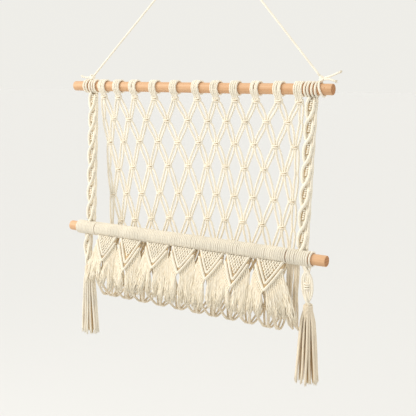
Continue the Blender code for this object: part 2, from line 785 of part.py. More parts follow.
def hanger_route():
    """The hanging cord's middle line: straight from each tie to the round bight between."""
    top = HANGING_POINT - Vector((0, 0, HANGER_RADIUS))
    centre = top - Vector((0, 0, HANGER_BEND))
    ends = []
    for strap in STRAPS:
        knot = tie_middle(strap)
        ends.append(knot + (centre - knot).normalized() * (TIE_KNOT_RADIUS + GAP))
    left, right = ends
    lean_left = math.atan2(centre.z - left.z, centre.x - left.x)
    lean_right = math.atan2(centre.z - right.z, right.x - centre.x)
    first, last = math.pi / 2 + lean_left, math.pi / 2 - lean_right
    bend_steps = 4
    straight = (HANGER_POINTS - bend_steps - 1) // 2
    bend = []
    for i in range(bend_steps + 1):
        angle = first + (last - first) * i / bend_steps
        bend.append(centre + Vector((math.cos(angle), 0, math.sin(angle))) * HANGER_BEND)
    left_run = [left.lerp(bend[0], i / straight) for i in range(straight)]
    right_run = [bend[-1].lerp(right, i / straight) for i in range(1, straight + 1)]
    return left_run + bend + right_run


def build_hanger(finish):
    route = hanger_route()
    curve = bpy.data.curves.new("hanging_cord", "CURVE")
    curve.dimensions = "3D"
    curve.bevel_depth = HANGER_RADIUS
    curve.bevel_resolution = 2
    curve.use_fill_caps = True
    spline = curve.splines.new("POLY")
    spline.points.add(len(route) - 1)
    for point, at in zip(spline.points, route):
        point.co = (*at, 1.0)
    curve.materials.append(finish)
    hanger = bpy.data.objects.new("hanging_cord", curve)
    bpy.context.scene.collection.objects.link(hanger)
    return hanger


def main():
    clear_scene()
    made = [
        build_rod("top_rod", TOP_ROD, material("Beech rod", WOOD, 0.5)),
        build_rod("front_rod", FRONT_ROD, material("Beech front rod", FRONT_WOOD, 0.5)),
        build_hanger(material("Hanging cord cotton", HANGER_COTTON, 0.9)),
    ]
    for panel in NET_PANELS:
        made.append(build_panel(panel, material("Cotton of " + panel.name, COTTON, 0.9)))
    for number, flap in enumerate(FLAPS, 1):
        made.append(build_flap(number, flap, material(f"Flap {number} cotton", FLAP_COTTON, 0.9)))
    for strap in STRAPS:
        side = strap.side
        made.append(build_strap(strap, material(f"Strap cotton, {side}", COTTON, 0.9)))
        made.append(build_tassel(strap, material(f"Tassel cotton, {side}", FRINGED_COTTON, 0.9)))
        made.append(build_tie(strap, material(f"Tie cotton, {side}", HANGER_COTTON, 0.9)))
    frame = bpy.data.objects.new("hanging_point", None)
    bpy.context.scene.collection.objects.link(frame)
    frame.location = -HANGING_POINT
    for piece in made:
        piece.parent = frame


main()
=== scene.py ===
"""A macrame net pocket on two wooden rods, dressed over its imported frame. Metres, +Z up.

Places are given from the middle of the top rod, and cords() moves them into the row frame,
whose origin is the hanging point."""

import random
from functools import partial
from math import atan2, cos, dist, pi, radians, sin, sqrt
from typing import NamedTuple

import bmesh
import bpy
import numpy as np
from bpy.props import FloatProperty, FloatVectorProperty, IntProperty, PointerProperty
from bpy.types import Operator, Panel, PropertyGroup
from mathutils import Matrix, Vector
from mathutils.geometry import interpolate_bezier


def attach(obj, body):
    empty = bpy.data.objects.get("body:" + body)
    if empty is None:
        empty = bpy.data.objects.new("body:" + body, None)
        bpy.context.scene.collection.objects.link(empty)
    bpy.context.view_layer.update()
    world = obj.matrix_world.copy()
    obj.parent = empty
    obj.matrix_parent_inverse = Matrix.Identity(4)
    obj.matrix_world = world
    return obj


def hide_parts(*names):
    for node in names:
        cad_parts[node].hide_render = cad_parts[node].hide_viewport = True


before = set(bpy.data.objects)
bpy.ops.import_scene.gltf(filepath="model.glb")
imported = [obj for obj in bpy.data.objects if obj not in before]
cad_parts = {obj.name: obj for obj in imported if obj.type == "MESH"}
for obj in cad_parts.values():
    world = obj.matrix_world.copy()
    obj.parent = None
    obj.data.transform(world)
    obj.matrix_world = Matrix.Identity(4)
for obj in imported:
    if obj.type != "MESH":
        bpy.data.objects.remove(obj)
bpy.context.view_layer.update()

bl_info = {
    "name": "Macrame net pocket",
    "version": (1, 0, 0),
    "blender": (4, 5, 0),
    "location": "View3D > Sidebar > Macrame",
    "description": "Knots a net pocket with flaps, straps and tassels on two rods",
    "category": "Object",
}

MM = 0.001
ALONG = "along_cord"  # the UV map: turns round the cord, then metres along it
PLIES = 3

# Rods and the hanging point, as in the solids
HANGING_POINT = Vector((0.028, 0.004, 0.212))
TOP_ROD = Vector((0.0, 0.0, 0.0))
FRONT_ROD = Vector((0.011, -0.030, -0.222))
ROD_LENGTH = 0.450
SLEEVE = 0.00935  # from a rod's axis to the middle of the cord wound on it
LOOP_CORD = 0.00158  # half the thickness of the cord where it is wound on a rod
ACROSS, BACKWARD, UP = Vector((1, 0, 0)), Vector((0, 1, 0)), Vector((0, 0, 1))
PIN_KNOT = Vector((0.2155, -0.0072, 0.0022)) - HANGING_POINT
GOLDEN_TURN = 2.39996  # radians; spreads strands evenly over a disc

# The net's lark's heads on the top rod, from left to right, four strands each
LARKS_HEADS = (-0.1643, -0.1353, -0.1033, -0.0653, -0.0275, 0.0122, 0.0445, 0.0769)
LARKS_HEADS += (0.1102, 0.1458, 0.1769)
STRANDS = 4 * len(LARKS_HEADS)
LOOPS_IN_HEAD = (-0.0048, -0.0018, 0.0018, 0.0048)
OFF_THE_ROD = (  # from a loop down to the net: the share of its place, depth and height
    (1.0, -SLEEVE * 0.98, -0.0010),
    (1.0, -SLEEVE * 0.86, -SLEEVE * 0.50),
    (0.88, -SLEEVE * 0.55, -SLEEVE * 0.98),
    (0.68, -SLEEVE * 0.32, -0.0125),
)
NET_MIDDLE = (LARKS_HEADS[0] + LARKS_HEADS[-1]) / 2
NET_HALF = (LARKS_HEADS[-1] - LARKS_HEADS[0]) / 2
NET_HITCHES = (-0.1595, 0.1790)
HITCH_LOOPS = 108


class Row(NamedTuple):
    """A row of knots across the net: its depth, its height at the left, middle and right, and
    its width against that at the top rod."""

    depth: float
    left: float
    middle: float
    right: float
    width: float


NET_ROWS = (
    Row(-0.002, -0.0172, -0.0172, -0.0172, 1.000),
    Row(0.001, -0.0504, -0.0485, -0.0443, 0.985),
    Row(0.002, -0.0872, -0.0803, -0.0783, 0.957),
    Row(0.003, -0.1318, -0.1145, -0.1153, 0.950),
    Row(0.003, -0.1710, -0.1560, -0.1544, 0.940),
    Row(0.003, -0.2160, -0.1930, -0.1930, 0.930),
    Row(0.002, -0.2480, -0.2310, -0.2300, 0.920),
    Row(0.000, -0.2800, -0.2690, -0.2680, 0.910),
    Row(-0.008, -0.3110, -0.3080, -0.3060, 0.900),
    Row(-0.026, -0.3285, -0.3285, -0.3285, 0.900),
    Row(-0.043, -0.3020, -0.3000, -0.2990, 0.900),
    Row(-0.044, -0.2670, -0.2650, -0.2640, 0.895),
)
FOOT_ROW = 9  # the fold, which has no knots
IN_KNOT = (-0.0050, -0.0017, 0.0017, 0.0050)  # the four strands' places in a knot
KNOT_HALF_HEIGHT = 0.0024
END_STEPS = 5  # of a strand from its last knot to the front rod
SIDE_CORDS = 6  # down the pocket's right side

FLAP_TILT = radians(25)  # forward from straight down
FLAP_DOWN = Vector((0, -sin(FLAP_TILT), -cos(FLAP_TILT)))
FLAP_OUT = Vector((0, -cos(FLAP_TILT), sin(FLAP_TILT)))
FLAP_SEAT = radians(38)  # where it leaves the front rod's hitches, forward from below
FLAP_REACH = 0.0116  # of its top from the front rod's axis
FLAP_POINT = 0.004  # its width there
FLAP_SHOULDER = 0.23  # part of its length


class Flap(NamedTuple):
    """A pointed flap under the front rod, and places on it."""

    middle: float
    width: float
    length: float
    point: float  # how far its point is to the right of its middle
    lean: float  # of its fringe, to the right

    def half(self, v):
        """Half its width: straight sides down to the shoulders, and then a point."""
        slant = max(0.0, (v - FLAP_SHOULDER) / (1 - FLAP_SHOULDER))
        return (self.width + (FLAP_POINT - self.width) * slant) / 2

    def at(self, x, v, rise=0.0):
        """x from its middle line in metres, v down its length from 0 to 1."""
        y = FRONT_ROD.y - FLAP_REACH * sin(FLAP_SEAT)
        z = FRONT_ROD.z - FLAP_REACH * cos(FLAP_SEAT)
        top = Vector((self.middle + x + self.point * v, y, z))
        return top + FLAP_DOWN * (self.length * v) + FLAP_OUT * rise


FLAPS = (
    Flap(-0.1334, 0.0394, 0.038, 0.002, -0.001),
    Flap(-0.0866, 0.0418, 0.046, 0.001, 0.001),
    Flap(-0.0350, 0.0419, 0.036, 0.000, -0.002),
    Flap(0.0122, 0.0419, 0.037, 0.000, 0.001),
    Flap(0.0611, 0.0412, 0.039, 0.000, -0.001),
    Flap(0.1047, 0.0397, 0.043, 0.000, 0.000),
    Flap(0.1562, 0.0430, 0.0405, 0.000, 0.003),
)
FRINGE_FOOT = -0.3050  # the height of the locks' tips
FRINGE_DEPTH = -0.0575  # and how far back they hang


class Strap(NamedTuple):
    """A strap from the top rod past the front rod to its tassel."""

    side: str
    loops: tuple  # X of its loops on the top rod
    tie: float  # of the hanging cord's ring beside them
    top: float  # of its middle at the top rod
    foot: float  # and at the front rod
    tail: float  # and below it
    tassel: float
    fan: float  # half the tassel's width at its foot
    hitches: tuple  # where it is wound on the front rod


STRAPS = (
    Strap(
        side="left",
        loops=(-0.1995, -0.1950, -0.1838, -0.1795),
        tie=-0.1890, top=-0.1858, foot=-0.1740, tail=-0.1775, tassel=-0.1750, fan=0.0148,
        hitches=(-0.1970, -0.1598),
    ),
    Strap(
        side="right",
        loops=(0.1882, 0.1922, 0.1974, 0.2024),
        tie=0.2090, top=0.1966, foot=0.2000, tail=0.2090, tassel=0.2130, fan=0.0164,
        hitches=(0.1793, 0.2165),
    ),
)
SENNIT_PITCH = 0.029  # of a strap's repeats
TAIL_TOP, TAIL_FOOT = -0.2300, -0.2835  # of a strap's part below the front rod
TAIL_DEPTH = -0.033
TASSEL_DEPTH = -0.036
TASSEL_HEAD = (-0.2820, -0.300)  # the heights of its top and foot
TASSEL_FOOT = -0.3900
HEAD_TURNS = 7  # of the cord that wraps a tassel's head
INNER_STRANDS, OUTER_STRANDS = 10, 14

# The hanging cord and its ties
HANGER_BEND = 0.006  # radius of its bight over the hanging point
TIE_KNOT = Vector((0, -0.0004, 0.0136))
TIE_TAILS = {  # each from the knot's middle
    "left": (((-0.003, 0, 0), (-0.0115, -0.001, -0.0004), (-0.018, -0.002, 0.0008)),),
    "right": (
        ((0.003, 0, 0.001), (0.0150, -0.002, 0.0045), (0.026, -0.004, 0.0085)),
        ((0.004, -0.002, -0.0006), (0.0115, -0.003, -0.0004), (0.019, -0.003, -0.0026)),
    ),
}

# The camera stands where the photograph's did, in the row frame
CAMERA_AT = (0.6336, -0.9605, -0.187)
CAMERA_TURN = (radians(80.094), 0.0, radians(33.46))
CAMERA_LENS = 68.395
# The floor is as bright under these lights as the backdrop behind it
FLOOR_COLOUR = (0.707, 0.711, 0.716, 1.0)
DAYLIGHT_COLOUR = (1.0, 0.988, 0.94, 1.0)
LAMP_COLOUR = (1.0, 0.965, 0.90)
LIGHTS_AIM = Vector((-0.02, -0.03, -0.36))
LIGHTS = (  # name, kind, place, strength against the key light's, and angle or size
    ("key", "SUN", (-1.7, -1.5, 1.5), 1.0, radians(16)),
    ("back", "SUN", (0.8, 1.9, 1.1), 0.45, radians(60)),
    # The near light makes the left side a little brighter than the right
    ("near", "AREA", (-1.05, -0.70, 0.10), 4.4, 0.6),
)


# Colours and materials


def linear(hex_code):
    """An sRGB hex colour as linear red, green and blue."""
    channels = [int(hex_code[i : i + 2], 16) / 255 for i in (1, 3, 5)]
    return tuple(c / 12.92 if c <= 0.04045 else ((c + 0.055) / 1.055) ** 2.4 for c in channels)


def add_node(tree, kind, sockets=(), out=0, **settings):
    """Adds a shader node with its settings, sets or links its sockets by name or number, and
    gives one of its outputs."""
    made = tree.nodes.new("ShaderNode" + kind)
    for name, value in settings.items():
        setattr(made, name, value)
    for key, value in dict(sockets).items():
        if isinstance(value, bpy.types.NodeSocket):
            tree.links.new(value, made.inputs[key])
        else:
            made.inputs[key].default_value = value
    return made.outputs[out]


def blank_material(name):
    """A new material, and the function that adds a node to it."""
    made = bpy.data.materials.new(name)
    made.use_nodes = True
    return made, partial(add_node, made.node_tree)


def surfaced(made, tone, height, strength, depth, roughness, specular=0.5):
    """The material with a colour, a relief of that depth in metres, and a roughness."""
    tree = made.node_tree
    shader = tree.nodes["Principled BSDF"]
    bump = add_node(tree, "Bump", {"Strength": strength, "Distance": depth, "Height": height})
    tree.links.new(tone, shader.inputs["Base Color"])
    tree.links.new(bump, shader.inputs["Normal"])
    shader.inputs["Roughness"].default_value = roughness
    shader.inputs["Specular IOR Level"].default_value = specular
    return made


def twisted_cotton(name, colour, hollow, lay=0.0135, depth=0.0005):
    """Undyed cotton cord of three soft plies laid together: matt, with a slanting groove
    between the plies and loose fibres. Its colour is painted shade in the grooves and painted
    highlight on the plies' crowns and raised fibres."""
    made, node = blank_material(name)
    turns, metres, _ = node("SeparateXYZ", {0: node("UVMap", uv_map=ALONG)}).node.outputs
    # The real lay is about 10 mm for a full turn. It is a little longer here, to show.
    pitch = node("Math", {0: metres, 1: PLIES / lay}, operation="MULTIPLY")
    ply = node("Math", {0: turns, 1: PLIES, 2: pitch}, operation="MULTIPLY_ADD")
    half_turn = node("Math", {0: ply, 1: pi}, operation="MULTIPLY")
    wave = node("Math", {0: half_turn}, operation="SINE")
    crest = node("Math", {0: wave}, operation="ABSOLUTE")
    round_ply = node("Math", {0: crest, 1: 0.55}, operation="POWER")
    # Fibres follow the plies, about 0.3 mm wide and 4 mm long
    along = node("CombineXYZ", {0: ply, 1: pitch})
    drawn = node("Mapping", {"Vector": along, "Scale": (7.0, 0.9, 1.0)})
    fibres = node("TexNoise", {"Vector": drawn, "Scale": 1.0, "Detail": 3.0})
    spot = node("TexCoord", out="Object")
    cloud = node("TexNoise", {"Vector": spot, "Scale": 45.0, "Detail": 2.0})
    fleck = node("TexNoise", {"Vector": spot, "Scale": 420.0, "Detail": 2.0})
    raised = node("Math", {0: fibres, 1: 0.35, 2: round_ply}, operation="MULTIPLY_ADD")
    # The relief also sets the colour: darker in the grooves, which is painted shade
    shade = node("MapRange", {0: raised, 1: 0.25, 2: 1.0, 3: 0.0, 4: 1.0})
    tone = node("Mix", {0: shade, 6: hollow, 7: colour}, 2, data_type="RGBA")
    patch = node("MapRange", {0: cloud, 1: 0.3, 2: 0.7, 3: 0.93, 4: 1.04})
    grain = node("MapRange", {0: fleck, 1: 0.3, 2: 0.7, 3: 0.97, 4: 1.03})
    value = node("Math", {0: patch, 1: grain}, operation="MULTIPLY")
    shaded = node("HueSaturation", {"Value": value, "Color": tone})
    return surfaced(made, shaded, raised, 0.5, depth, 0.92, 0.25)


def brushed_cotton(name, colour, hollow):
    """The same cotton combed out into single fibres: duller, with fine streaks down each."""
    made, node = blank_material(name)
    drawn = node("Mapping", {"Vector": node("UVMap", uv_map=ALONG), "Scale": (5.0, 60.0, 1.0)})
    streak = node("TexNoise", {"Vector": drawn, "Scale": 1.0, "Detail": 3.0})
    # Streaks about 1 mm wide and 17 mm long, coarser than cotton's own, to show
    spot = node("TexCoord", out="Object")
    thin = node("Mapping", {"Vector": spot, "Scale": (900.0, 900.0, 60.0)})
    hair = node("TexNoise", {"Vector": thin, "Scale": 1.0, "Detail": 2.0})
    mixed = node("Math", {0: streak, 1: hair}, operation="MULTIPLY")
    # The streaks' lower parts take the darker fluffed colour: painted shade between the fibres
    shade = node("MapRange", {0: mixed, 1: 0.14, 2: 0.34})
    tone = node("Mix", {0: shade, 6: hollow, 7: colour}, 2, data_type="RGBA")
    return surfaced(made, tone, mixed, 0.6, 0.0003, 0.95, 0.2)


def sanded_beech(name, colour, dark):
    """A turned beech dowel, sanded and left bare: pale pinkish tan, straight grain along the
    rod and the short dark flecks of beech rays."""
    made, node = blank_material(name)
    spot = node("TexCoord", out="Object")
    # Growth layers are about 2 mm wide, and run the rod's length with a slight wander
    drawn = node("Mapping", {"Vector": spot, "Scale": (9.0, 480.0, 480.0)})
    grain = node("TexNoise", {"Vector": drawn, "Scale": 1.0, "Detail": 4.0})
    # Rays show as flecks about 3 mm long and 0.3 mm wide
    short = node("Mapping", {"Vector": spot, "Scale": (330.0, 2600.0, 2600.0)})
    rays = node("TexNoise", {"Vector": short, "Scale": 1.0, "Detail": 1.0})
    fleck = node("MapRange", {0: rays, 1: 0.62, 2: 0.74})
    layer = node("MapRange", {0: grain, 1: 0.35, 2: 0.68})
    worn = node("Math", {0: layer, 1: 0.55}, operation="MULTIPLY")
    depth = node("Math", {0: fleck, 1: 0.5, 2: worn}, operation="MULTIPLY_ADD")
    # A pin knot, 2 mm across, near the top rod's right end
    offset = node("VectorMath", {0: spot, 1: PIN_KNOT}, "Value", operation="DISTANCE")
    pin = node("MapRange", {0: offset, 1: 0.0004, 2: 0.0016, 3: 1.0, 4: 0.0})
    mixed = node("Math", {0: depth, 1: pin}, operation="MAXIMUM")
    tone = node("Mix", {0: mixed, 6: colour, 7: dark}, 2, data_type="RGBA")
    return surfaced(made, tone, grain, 0.25, 0.0002, 0.55)


def beech_end_grain(name, colour, dark):
    """The sawn end of the dowel: rougher and darker, with curved growth rings."""
    made, node = blank_material(name)
    spot = node("TexCoord", out="Object")
    # Rings about 2 mm apart, from a pith that lies outside the dowel
    centred = node("Mapping", {"Vector": spot, "Location": (0.0, 0.03, 0.24)})
    waves = {"Vector": centred, "Scale": 80.0, "Distortion": 2.0, "Detail": 2.0}
    rings = node("TexWave", waves, "Fac", wave_type="RINGS", rings_direction="X")
    pores = node("TexNoise", {"Vector": spot, "Scale": 1500.0})
    depth = node("Math", {0: rings, 1: pores}, operation="MULTIPLY")
    tone = node("Mix", {0: depth, 6: colour, 7: dark}, 2, data_type="RGBA")
    return surfaced(made, tone, pores, 0.4, 0.0002, 0.8)


def mixed_tone(first, second, share):
    """A colour that has that share of the first and the rest of the second."""
    return tuple(share * a + (1 - share) * b for a, b in zip(first, second))


def tinted(tone, *factors):
    return (*(a * b for a, b in zip(tone, factors)), 1.0)


def finish(name):
    """A material by its name, made once."""
    made = bpy.data.materials.get(name)
    if made:
        return made
    colours = bpy.context.scene.macrame_colours
    cotton, hollow, shaded, wood, wood_dark, end_dark = (
        (*getattr(colours, slot), 1.0) for slot in colours.__annotations__
    )
    # The pocket's front, the tassels' heads and the right tassel are drawn darker: painted shade
    pocket = (mixed_tone(cotton, shaded, 0.65), mixed_tone(cotton, shaded, 0.3))
    smooth = mixed_tone(cotton, hollow, 0.6)  # for the hanger, the smoothest cord
    # The cord wound on the front rod is drawn a little darker and greyer: painted shade
    wound = [tinted(tone, 0.915, 0.915, 0.92) for tone in (cotton, hollow)]
    makers = {
        "Cotton cord": (twisted_cotton, cotton, hollow),
        # Inside the knots the light hardly reaches the cord, which looks a warm tan there
        "Shaded cotton cord": (twisted_cotton, shaded, tinted(shaded, 0.80, 0.68, 0.56)),
        "Pocket cotton cord": (twisted_cotton, *pocket),
        "Wound cotton cord": (twisted_cotton, *wound),
        "Hanging cotton cord": (twisted_cotton, cotton, smooth, 0.0120, 0.0003),
        "Brushed cotton": (brushed_cotton, cotton, (*linear("#E8DCC4"), 1.0)),
        "Shaded brushed cotton": (brushed_cotton, *pocket),
        "Sanded beech": (sanded_beech, wood, wood_dark),
        "Beech end grain": (beech_end_grain, wood_dark, end_dark),
    }
    maker, *values = makers[name]
    return maker(name, *values)


# Cords


class Run(NamedTuple):
    """A stretch of cord: the points that it follows, and its radius there."""

    points: list
    radius: object  # one for the whole run, or one for each point
    closed: bool = False


def cords(name, runs, sides=6):
    """A mesh of round cords with the UV map that their materials follow."""
    curve = bpy.data.curves.new(name, "CURVE")
    curve.dimensions = "3D"
    curve.bevel_depth = 1.0
    curve.bevel_resolution = sides // 2 - 2
    curve.use_fill_caps = True
    lengths = []  # of the cord that each corner of a tube belongs to
    for run in runs:
        spline = curve.splines.new("POLY")
        count = len(run.points)
        spline.points.add(count - 1)
        at = np.array([tuple(p) for p in run.points]) - np.array(HANGING_POINT)
        spline.points.foreach_set("co", np.column_stack([at, np.ones(count)]).ravel())
        spline.points.foreach_set("radius", np.full(count, run.radius, float))
        spline.use_cyclic_u = run.closed
        route = np.vstack([at, at[:1]]) if run.closed else at
        length = np.linalg.norm(np.diff(route, axis=0), axis=1).sum()
        lengths += [length] * (count * sides)
    helper = placed(name, curve)
    graph = bpy.context.evaluated_depsgraph_get()
    mesh = bpy.data.meshes.new_from_object(helper.evaluated_get(graph))
    bpy.data.objects.remove(helper)
    bpy.data.curves.remove(curve)
    caps = len(mesh.vertices) - len(lengths)
    lengths = np.array([0.0] * caps + lengths)
    layer = mesh.uv_layers[0]
    layer.name = ALONG
    uv = np.empty(len(mesh.loops) * 2, np.float32)
    layer.data.foreach_get("uv", uv)
    corner = np.empty(len(mesh.loops), np.int32)
    mesh.loops.foreach_get("vertex_index", corner)
    uv = uv.reshape(-1, 2)
    # Blender's map runs along the cord and then round it. The ends are mapped already
    turned = np.column_stack([uv[:, 1], uv[:, 0] * lengths[corner]])
    uv = np.where((corner >= caps)[:, None], turned, uv).astype(np.float32)
    layer.data.foreach_set("uv", uv.ravel())
    bm = bmesh.new()
    bm.from_mesh(mesh)
    bmesh.ops.remove_doubles(bm, verts=bm.verts, dist=1e-7)
    bm.to_mesh(mesh)
    bm.free()
    return mesh


def through(points, steps=4):
    """A smooth run through some points."""
    points = [Vector(p) for p in points]
    ends = [points[0] * 2 - points[1], *points, points[-1] * 2 - points[-2]]
    found = []
    for a, b, c, d in zip(ends, ends[1:], ends[2:], ends[3:]):
        found += interpolate_bezier(b, b + (c - a) / 6, c - (d - b) / 6, c, steps + 1)[:-1]
    return [*found, points[-1]]


def ring(middle, wide, deep, steps):
    """The points of a ring round a middle; wide and deep are its two half axes."""
    turns = (2 * pi * i / steps for i in range(steps))
    return [middle + wide * cos(a) + deep * sin(a) for a in turns]


def wrap(middle, wide, deep, radius, steps=8):
    """A closed turn of cord round a middle."""
    return Run(ring(middle, wide, deep, steps), radius, True)


def rod_loop(rod, x, lean=0.0, radius=LOOP_CORD):
    """A turn of cord round a rod at x; it leans by that much along the rod."""
    return wrap(Vector((x, rod.y, rod.z)), Vector((lean, SLEEVE, 0)), UP * SLEEVE, radius, 18)


def placed(name, data):
    """A new object in the scene."""
    made = bpy.data.objects.new(name, data)
    bpy.context.scene.collection.objects.link(made)
    return made


def add_piece(name, mesh, nodes, slot, *finishes):
    """A finished piece: it rides on the hanging, and stands for some of its solids."""
    for material in finishes:
        mesh.materials.append(finish(material))
    mesh.name = name
    piece = placed(name, mesh)
    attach(piece, "root")
    if nodes:
        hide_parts(*nodes)
    return piece


def add_cords(name, nodes, slot, *layers):
    """A piece of cords in one or more materials. Each layer has a material's name, its runs
    and the number of their sides where it isn't six."""
    meshes = [cords(name, *runs) for _, *runs in layers]
    mesh = joined(name, meshes) if len(meshes) > 1 else meshes[0]
    return add_piece(name, mesh, nodes, slot, *(layer[0] for layer in layers))


def finished(bm, name):
    """The mesh of a bmesh, which is then freed."""
    mesh = bpy.data.meshes.new(name)
    bm.to_mesh(mesh)
    bm.free()
    return mesh


def joined(name, meshes):
    """One mesh of several, each keeping its own material's place."""
    bm = bmesh.new()
    for index, mesh in enumerate(meshes):
        before = len(bm.faces)
        bm.from_mesh(mesh)
        bm.faces.ensure_lookup_table()
        for face in bm.faces[before:]:
            face.material_index = index
        bpy.data.meshes.remove(mesh)
    return finished(bm, name)


# The net


def row_height(row, x):
    t = (x - NET_MIDDLE) / NET_HALF
    return row.left * t * (t - 1) / 2 + row.middle * (1 - t * t) + row.right * t * (t + 1) / 2


def seat(row_index, strand_index):
    """The X at the top rod of the knot that takes a strand in a row, its place there and the
    knot's number. The outermost two strands have no knot in the odd rows."""
    group, place = divmod(strand_index, 4)
    if row_index % 2 == 0:
        return LARKS_HEADS[group], place, group
    side = -1 if place < 2 else 1
    if not 0 <= group + side < len(LARKS_HEADS):
        return LARKS_HEADS[group], place, None
    x = (LARKS_HEADS[group] + LARKS_HEADS[group + side]) / 2
    return x, place - 2 * side, min(group, group + side)


def knot_middle(row_index, x, knot):
    """Where a row's knot lies. Each is a little off its line, as knots tied by hand are."""
    row = NET_ROWS[row_index]
    hand = random.Random(100 * row_index + (knot if knot is not None else 50))
    at = Vector((NET_MIDDLE + (x - NET_MIDDLE) * row.width, row.depth, row_height(row, x)))
    if row_index and row_index != FOOT_ROW:
        at += Vector((hand.uniform(-1, 1), 0, hand.uniform(-1, 1))) * 0.7 * MM
    return at


def net_down(row_index, x):
    """The way down the net at a row, in depth and height."""
    before = NET_ROWS[max(row_index - 1, 0)]
    if row_index + 1 < len(NET_ROWS):
        after = NET_ROWS[row_index + 1]
        step = Vector((0, after.depth - before.depth, row_height(after, x) - row_height(before, x)))
    else:
        step = Vector((0, FRONT_ROD.y - before.depth, FRONT_ROD.z - row_height(before, x)))
    return step.normalized()


def between(start, start_way, end, end_way, bow, steps):
    """Points from one knot to the next. The strand leaves and enters along the net, and bows
    sideways by that much on its way."""
    chord = end - start
    pull = 0.55 / 3 * chord.length
    aside = Vector((-chord.z, 0, chord.x))
    aside = aside.normalized() if aside.length > 1e-6 else ACROSS
    leave, enter = start + start_way * pull, end - end_way * pull
    route = interpolate_bezier(start, leave, enter, end, steps + 1)
    for i in range(1, steps):
        route[i] += aside * bow * sin(pi * (i / steps) ** 0.8) ** 0.8
    return route[1:-1]


def net_strand(index, first, last):
    """A strand's points from one row to another; from row 0 it starts in its loop on the rod."""
    group, place = divmod(index, 4)
    hand = random.Random(index)
    points, previous = [], None
    if first == 0:
        x, loop = LARKS_HEADS[group], LOOPS_IN_HEAD[place]
        points = [Vector((x + loop * share, y, z)) for share, y, z in OFF_THE_ROD]
    for row in range(first, last + 1):
        x, seat_place, knot = seat(row, index)
        way = net_down(row, x)
        middle = knot_middle(row, x, knot)
        if row == FOOT_ROW or knot is None:
            # The left edge's strands bow out where they have no knot
            outward = 3.0 * MM if knot is None and group == 0 and row != FOOT_ROW else 0.0
            off, half = 0.0034 * (seat_place - 1.5) - outward, 0.0012
        else:
            off, half = IN_KNOT[seat_place], KNOT_HALF_HEIGHT
        at = middle + ACROSS * off
        enter, leave = at - way * half, at + way * half
        if previous:
            start, start_way, was = previous
            spread = (2.5 if x > was else 1.5) + hand.uniform(-0.5, 0.8)
            bow = (spread if seat_place % 2 else -spread * 0.6) * MM
            points += between(start, start_way, enter, way, bow, 8)
        points += [enter, at, leave]
        previous = leave, way, x
    if last == len(NET_ROWS) - 1:
        low, high = NET_HITCHES
        x = low + (high - low) * (index + 0.5) / STRANDS
        end = Vector((x, FRONT_ROD.y, FRONT_ROD.z - SLEEVE))
        points += between(leave, way, end, Vector((0, 0.2, 1)).normalized(), 0, END_STEPS)
        points.append(end)
    return points


def square_knot(at, way, hand):
    """A square knot drawn tight: two wraps that cross its four strands and lean apart, and the
    shaded crossing between them."""
    front = ACROSS.cross(way)
    wraps = []
    for sign in (1, -1):
        lean = way * (hand.uniform(0.0002, 0.0009) * sign)
        wide = ACROSS * (0.0051 + hand.uniform(-0.3, 0.2) * MM) + lean
        wraps.append(wrap(at + way * (0.00125 * sign), wide, front * 0.0024, 0.00112, 12))
    return wraps, wrap(at, ACROSS * 0.0048, front * 0.0026, 0.0006, 10)


def net_knots(first, last):
    """The square knots of some rows: their wraps, and the shaded crossings inside."""
    wraps, inner = [], []
    for row in range(first, last + 1):
        for index in range(STRANDS):
            x, place, knot = seat(row, index)
            if row == FOOT_ROW or knot is None or place:
                continue
            at = knot_middle(row, x, knot)
            pair, crossing = square_knot(at, net_down(row, x), random.Random(row * 31 + knot))
            wraps += pair
            inner.append(crossing)
    return wraps, inner


def larks_head(x, hand):
    """Four loops round the top rod, and the bar across them at the back."""
    runs = [rod_loop(TOP_ROD, x + at, hand.uniform(-0.5, 0.5) * MM) for at in LOOPS_IN_HEAD]
    bar = []
    for i in range(9):
        t = i / 8
        out = SLEEVE + 0.0021 * sin(pi * t) ** 0.5
        turn = radians(-20) + hand.uniform(-0.05, 0.05)
        bar.append((x - 0.0056 + 0.0112 * t, out * cos(turn), out * sin(turn)))
    return [*runs, Run(bar, 0.0015)]


class MACRAME_OT_net(Operator):
    """Knot the net down from its lark's heads to the pocket's foot"""

    bl_idname = "macrame.net"
    bl_label = "Net"

    def execute(self, context):
        radius = context.scene.macrame_sizes.cord / 2
        wraps, inner = net_knots(0, 6)
        runs = [Run(net_strand(index, 0, 7), radius) for index in range(STRANDS)] + wraps
        crossings = ("Shaded cotton cord", inner, 4)
        add_cords("net_back", ["net"], "cotton", ("Cotton cord", runs), crossings)
        heads = []
        for number, x in enumerate(LARKS_HEADS):
            heads += larks_head(x, random.Random(number))
        add_cords("larks_heads", [], "cotton", ("Cotton cord", heads))
        return {"FINISHED"}


def side_cord(number, edge):
    """A cord that hangs from the right strap's hitches, down the pocket's side and up into the
    last knot of the net's edge."""
    x = 0.1806 + 0.0028 * number
    back = 0.0018 * (number % 2)
    drop = 0.0022 * (number % 3)
    inwards = edge.x - 0.0009 * number
    return through(
        [
            (x, -0.0290, -0.2300),
            (x + 0.0007 * sin(5 * number), -0.0310 + back, -0.2500),
            (x + 0.0010 * sin(2 * number), -0.0330 + back, -0.2720),
            (x + 0.0014, -0.0345 + back, -0.2960),
            (x + 0.0012, -0.0320, -0.3130 - drop),
            (x - 0.0008, -0.0255, -0.3200 - drop),
            (x - 0.0050, -0.0190, -0.3190 - drop),
            (0.5 * (x + edge.x), edge.y - 0.0040, -0.3120 - 0.5 * drop),
            (inwards + 0.0044, edge.y + back, edge.z - 0.0030),
            (inwards + 0.0030, edge.y + 0.0020 + back, edge.z + 0.0040),
        ]
    )


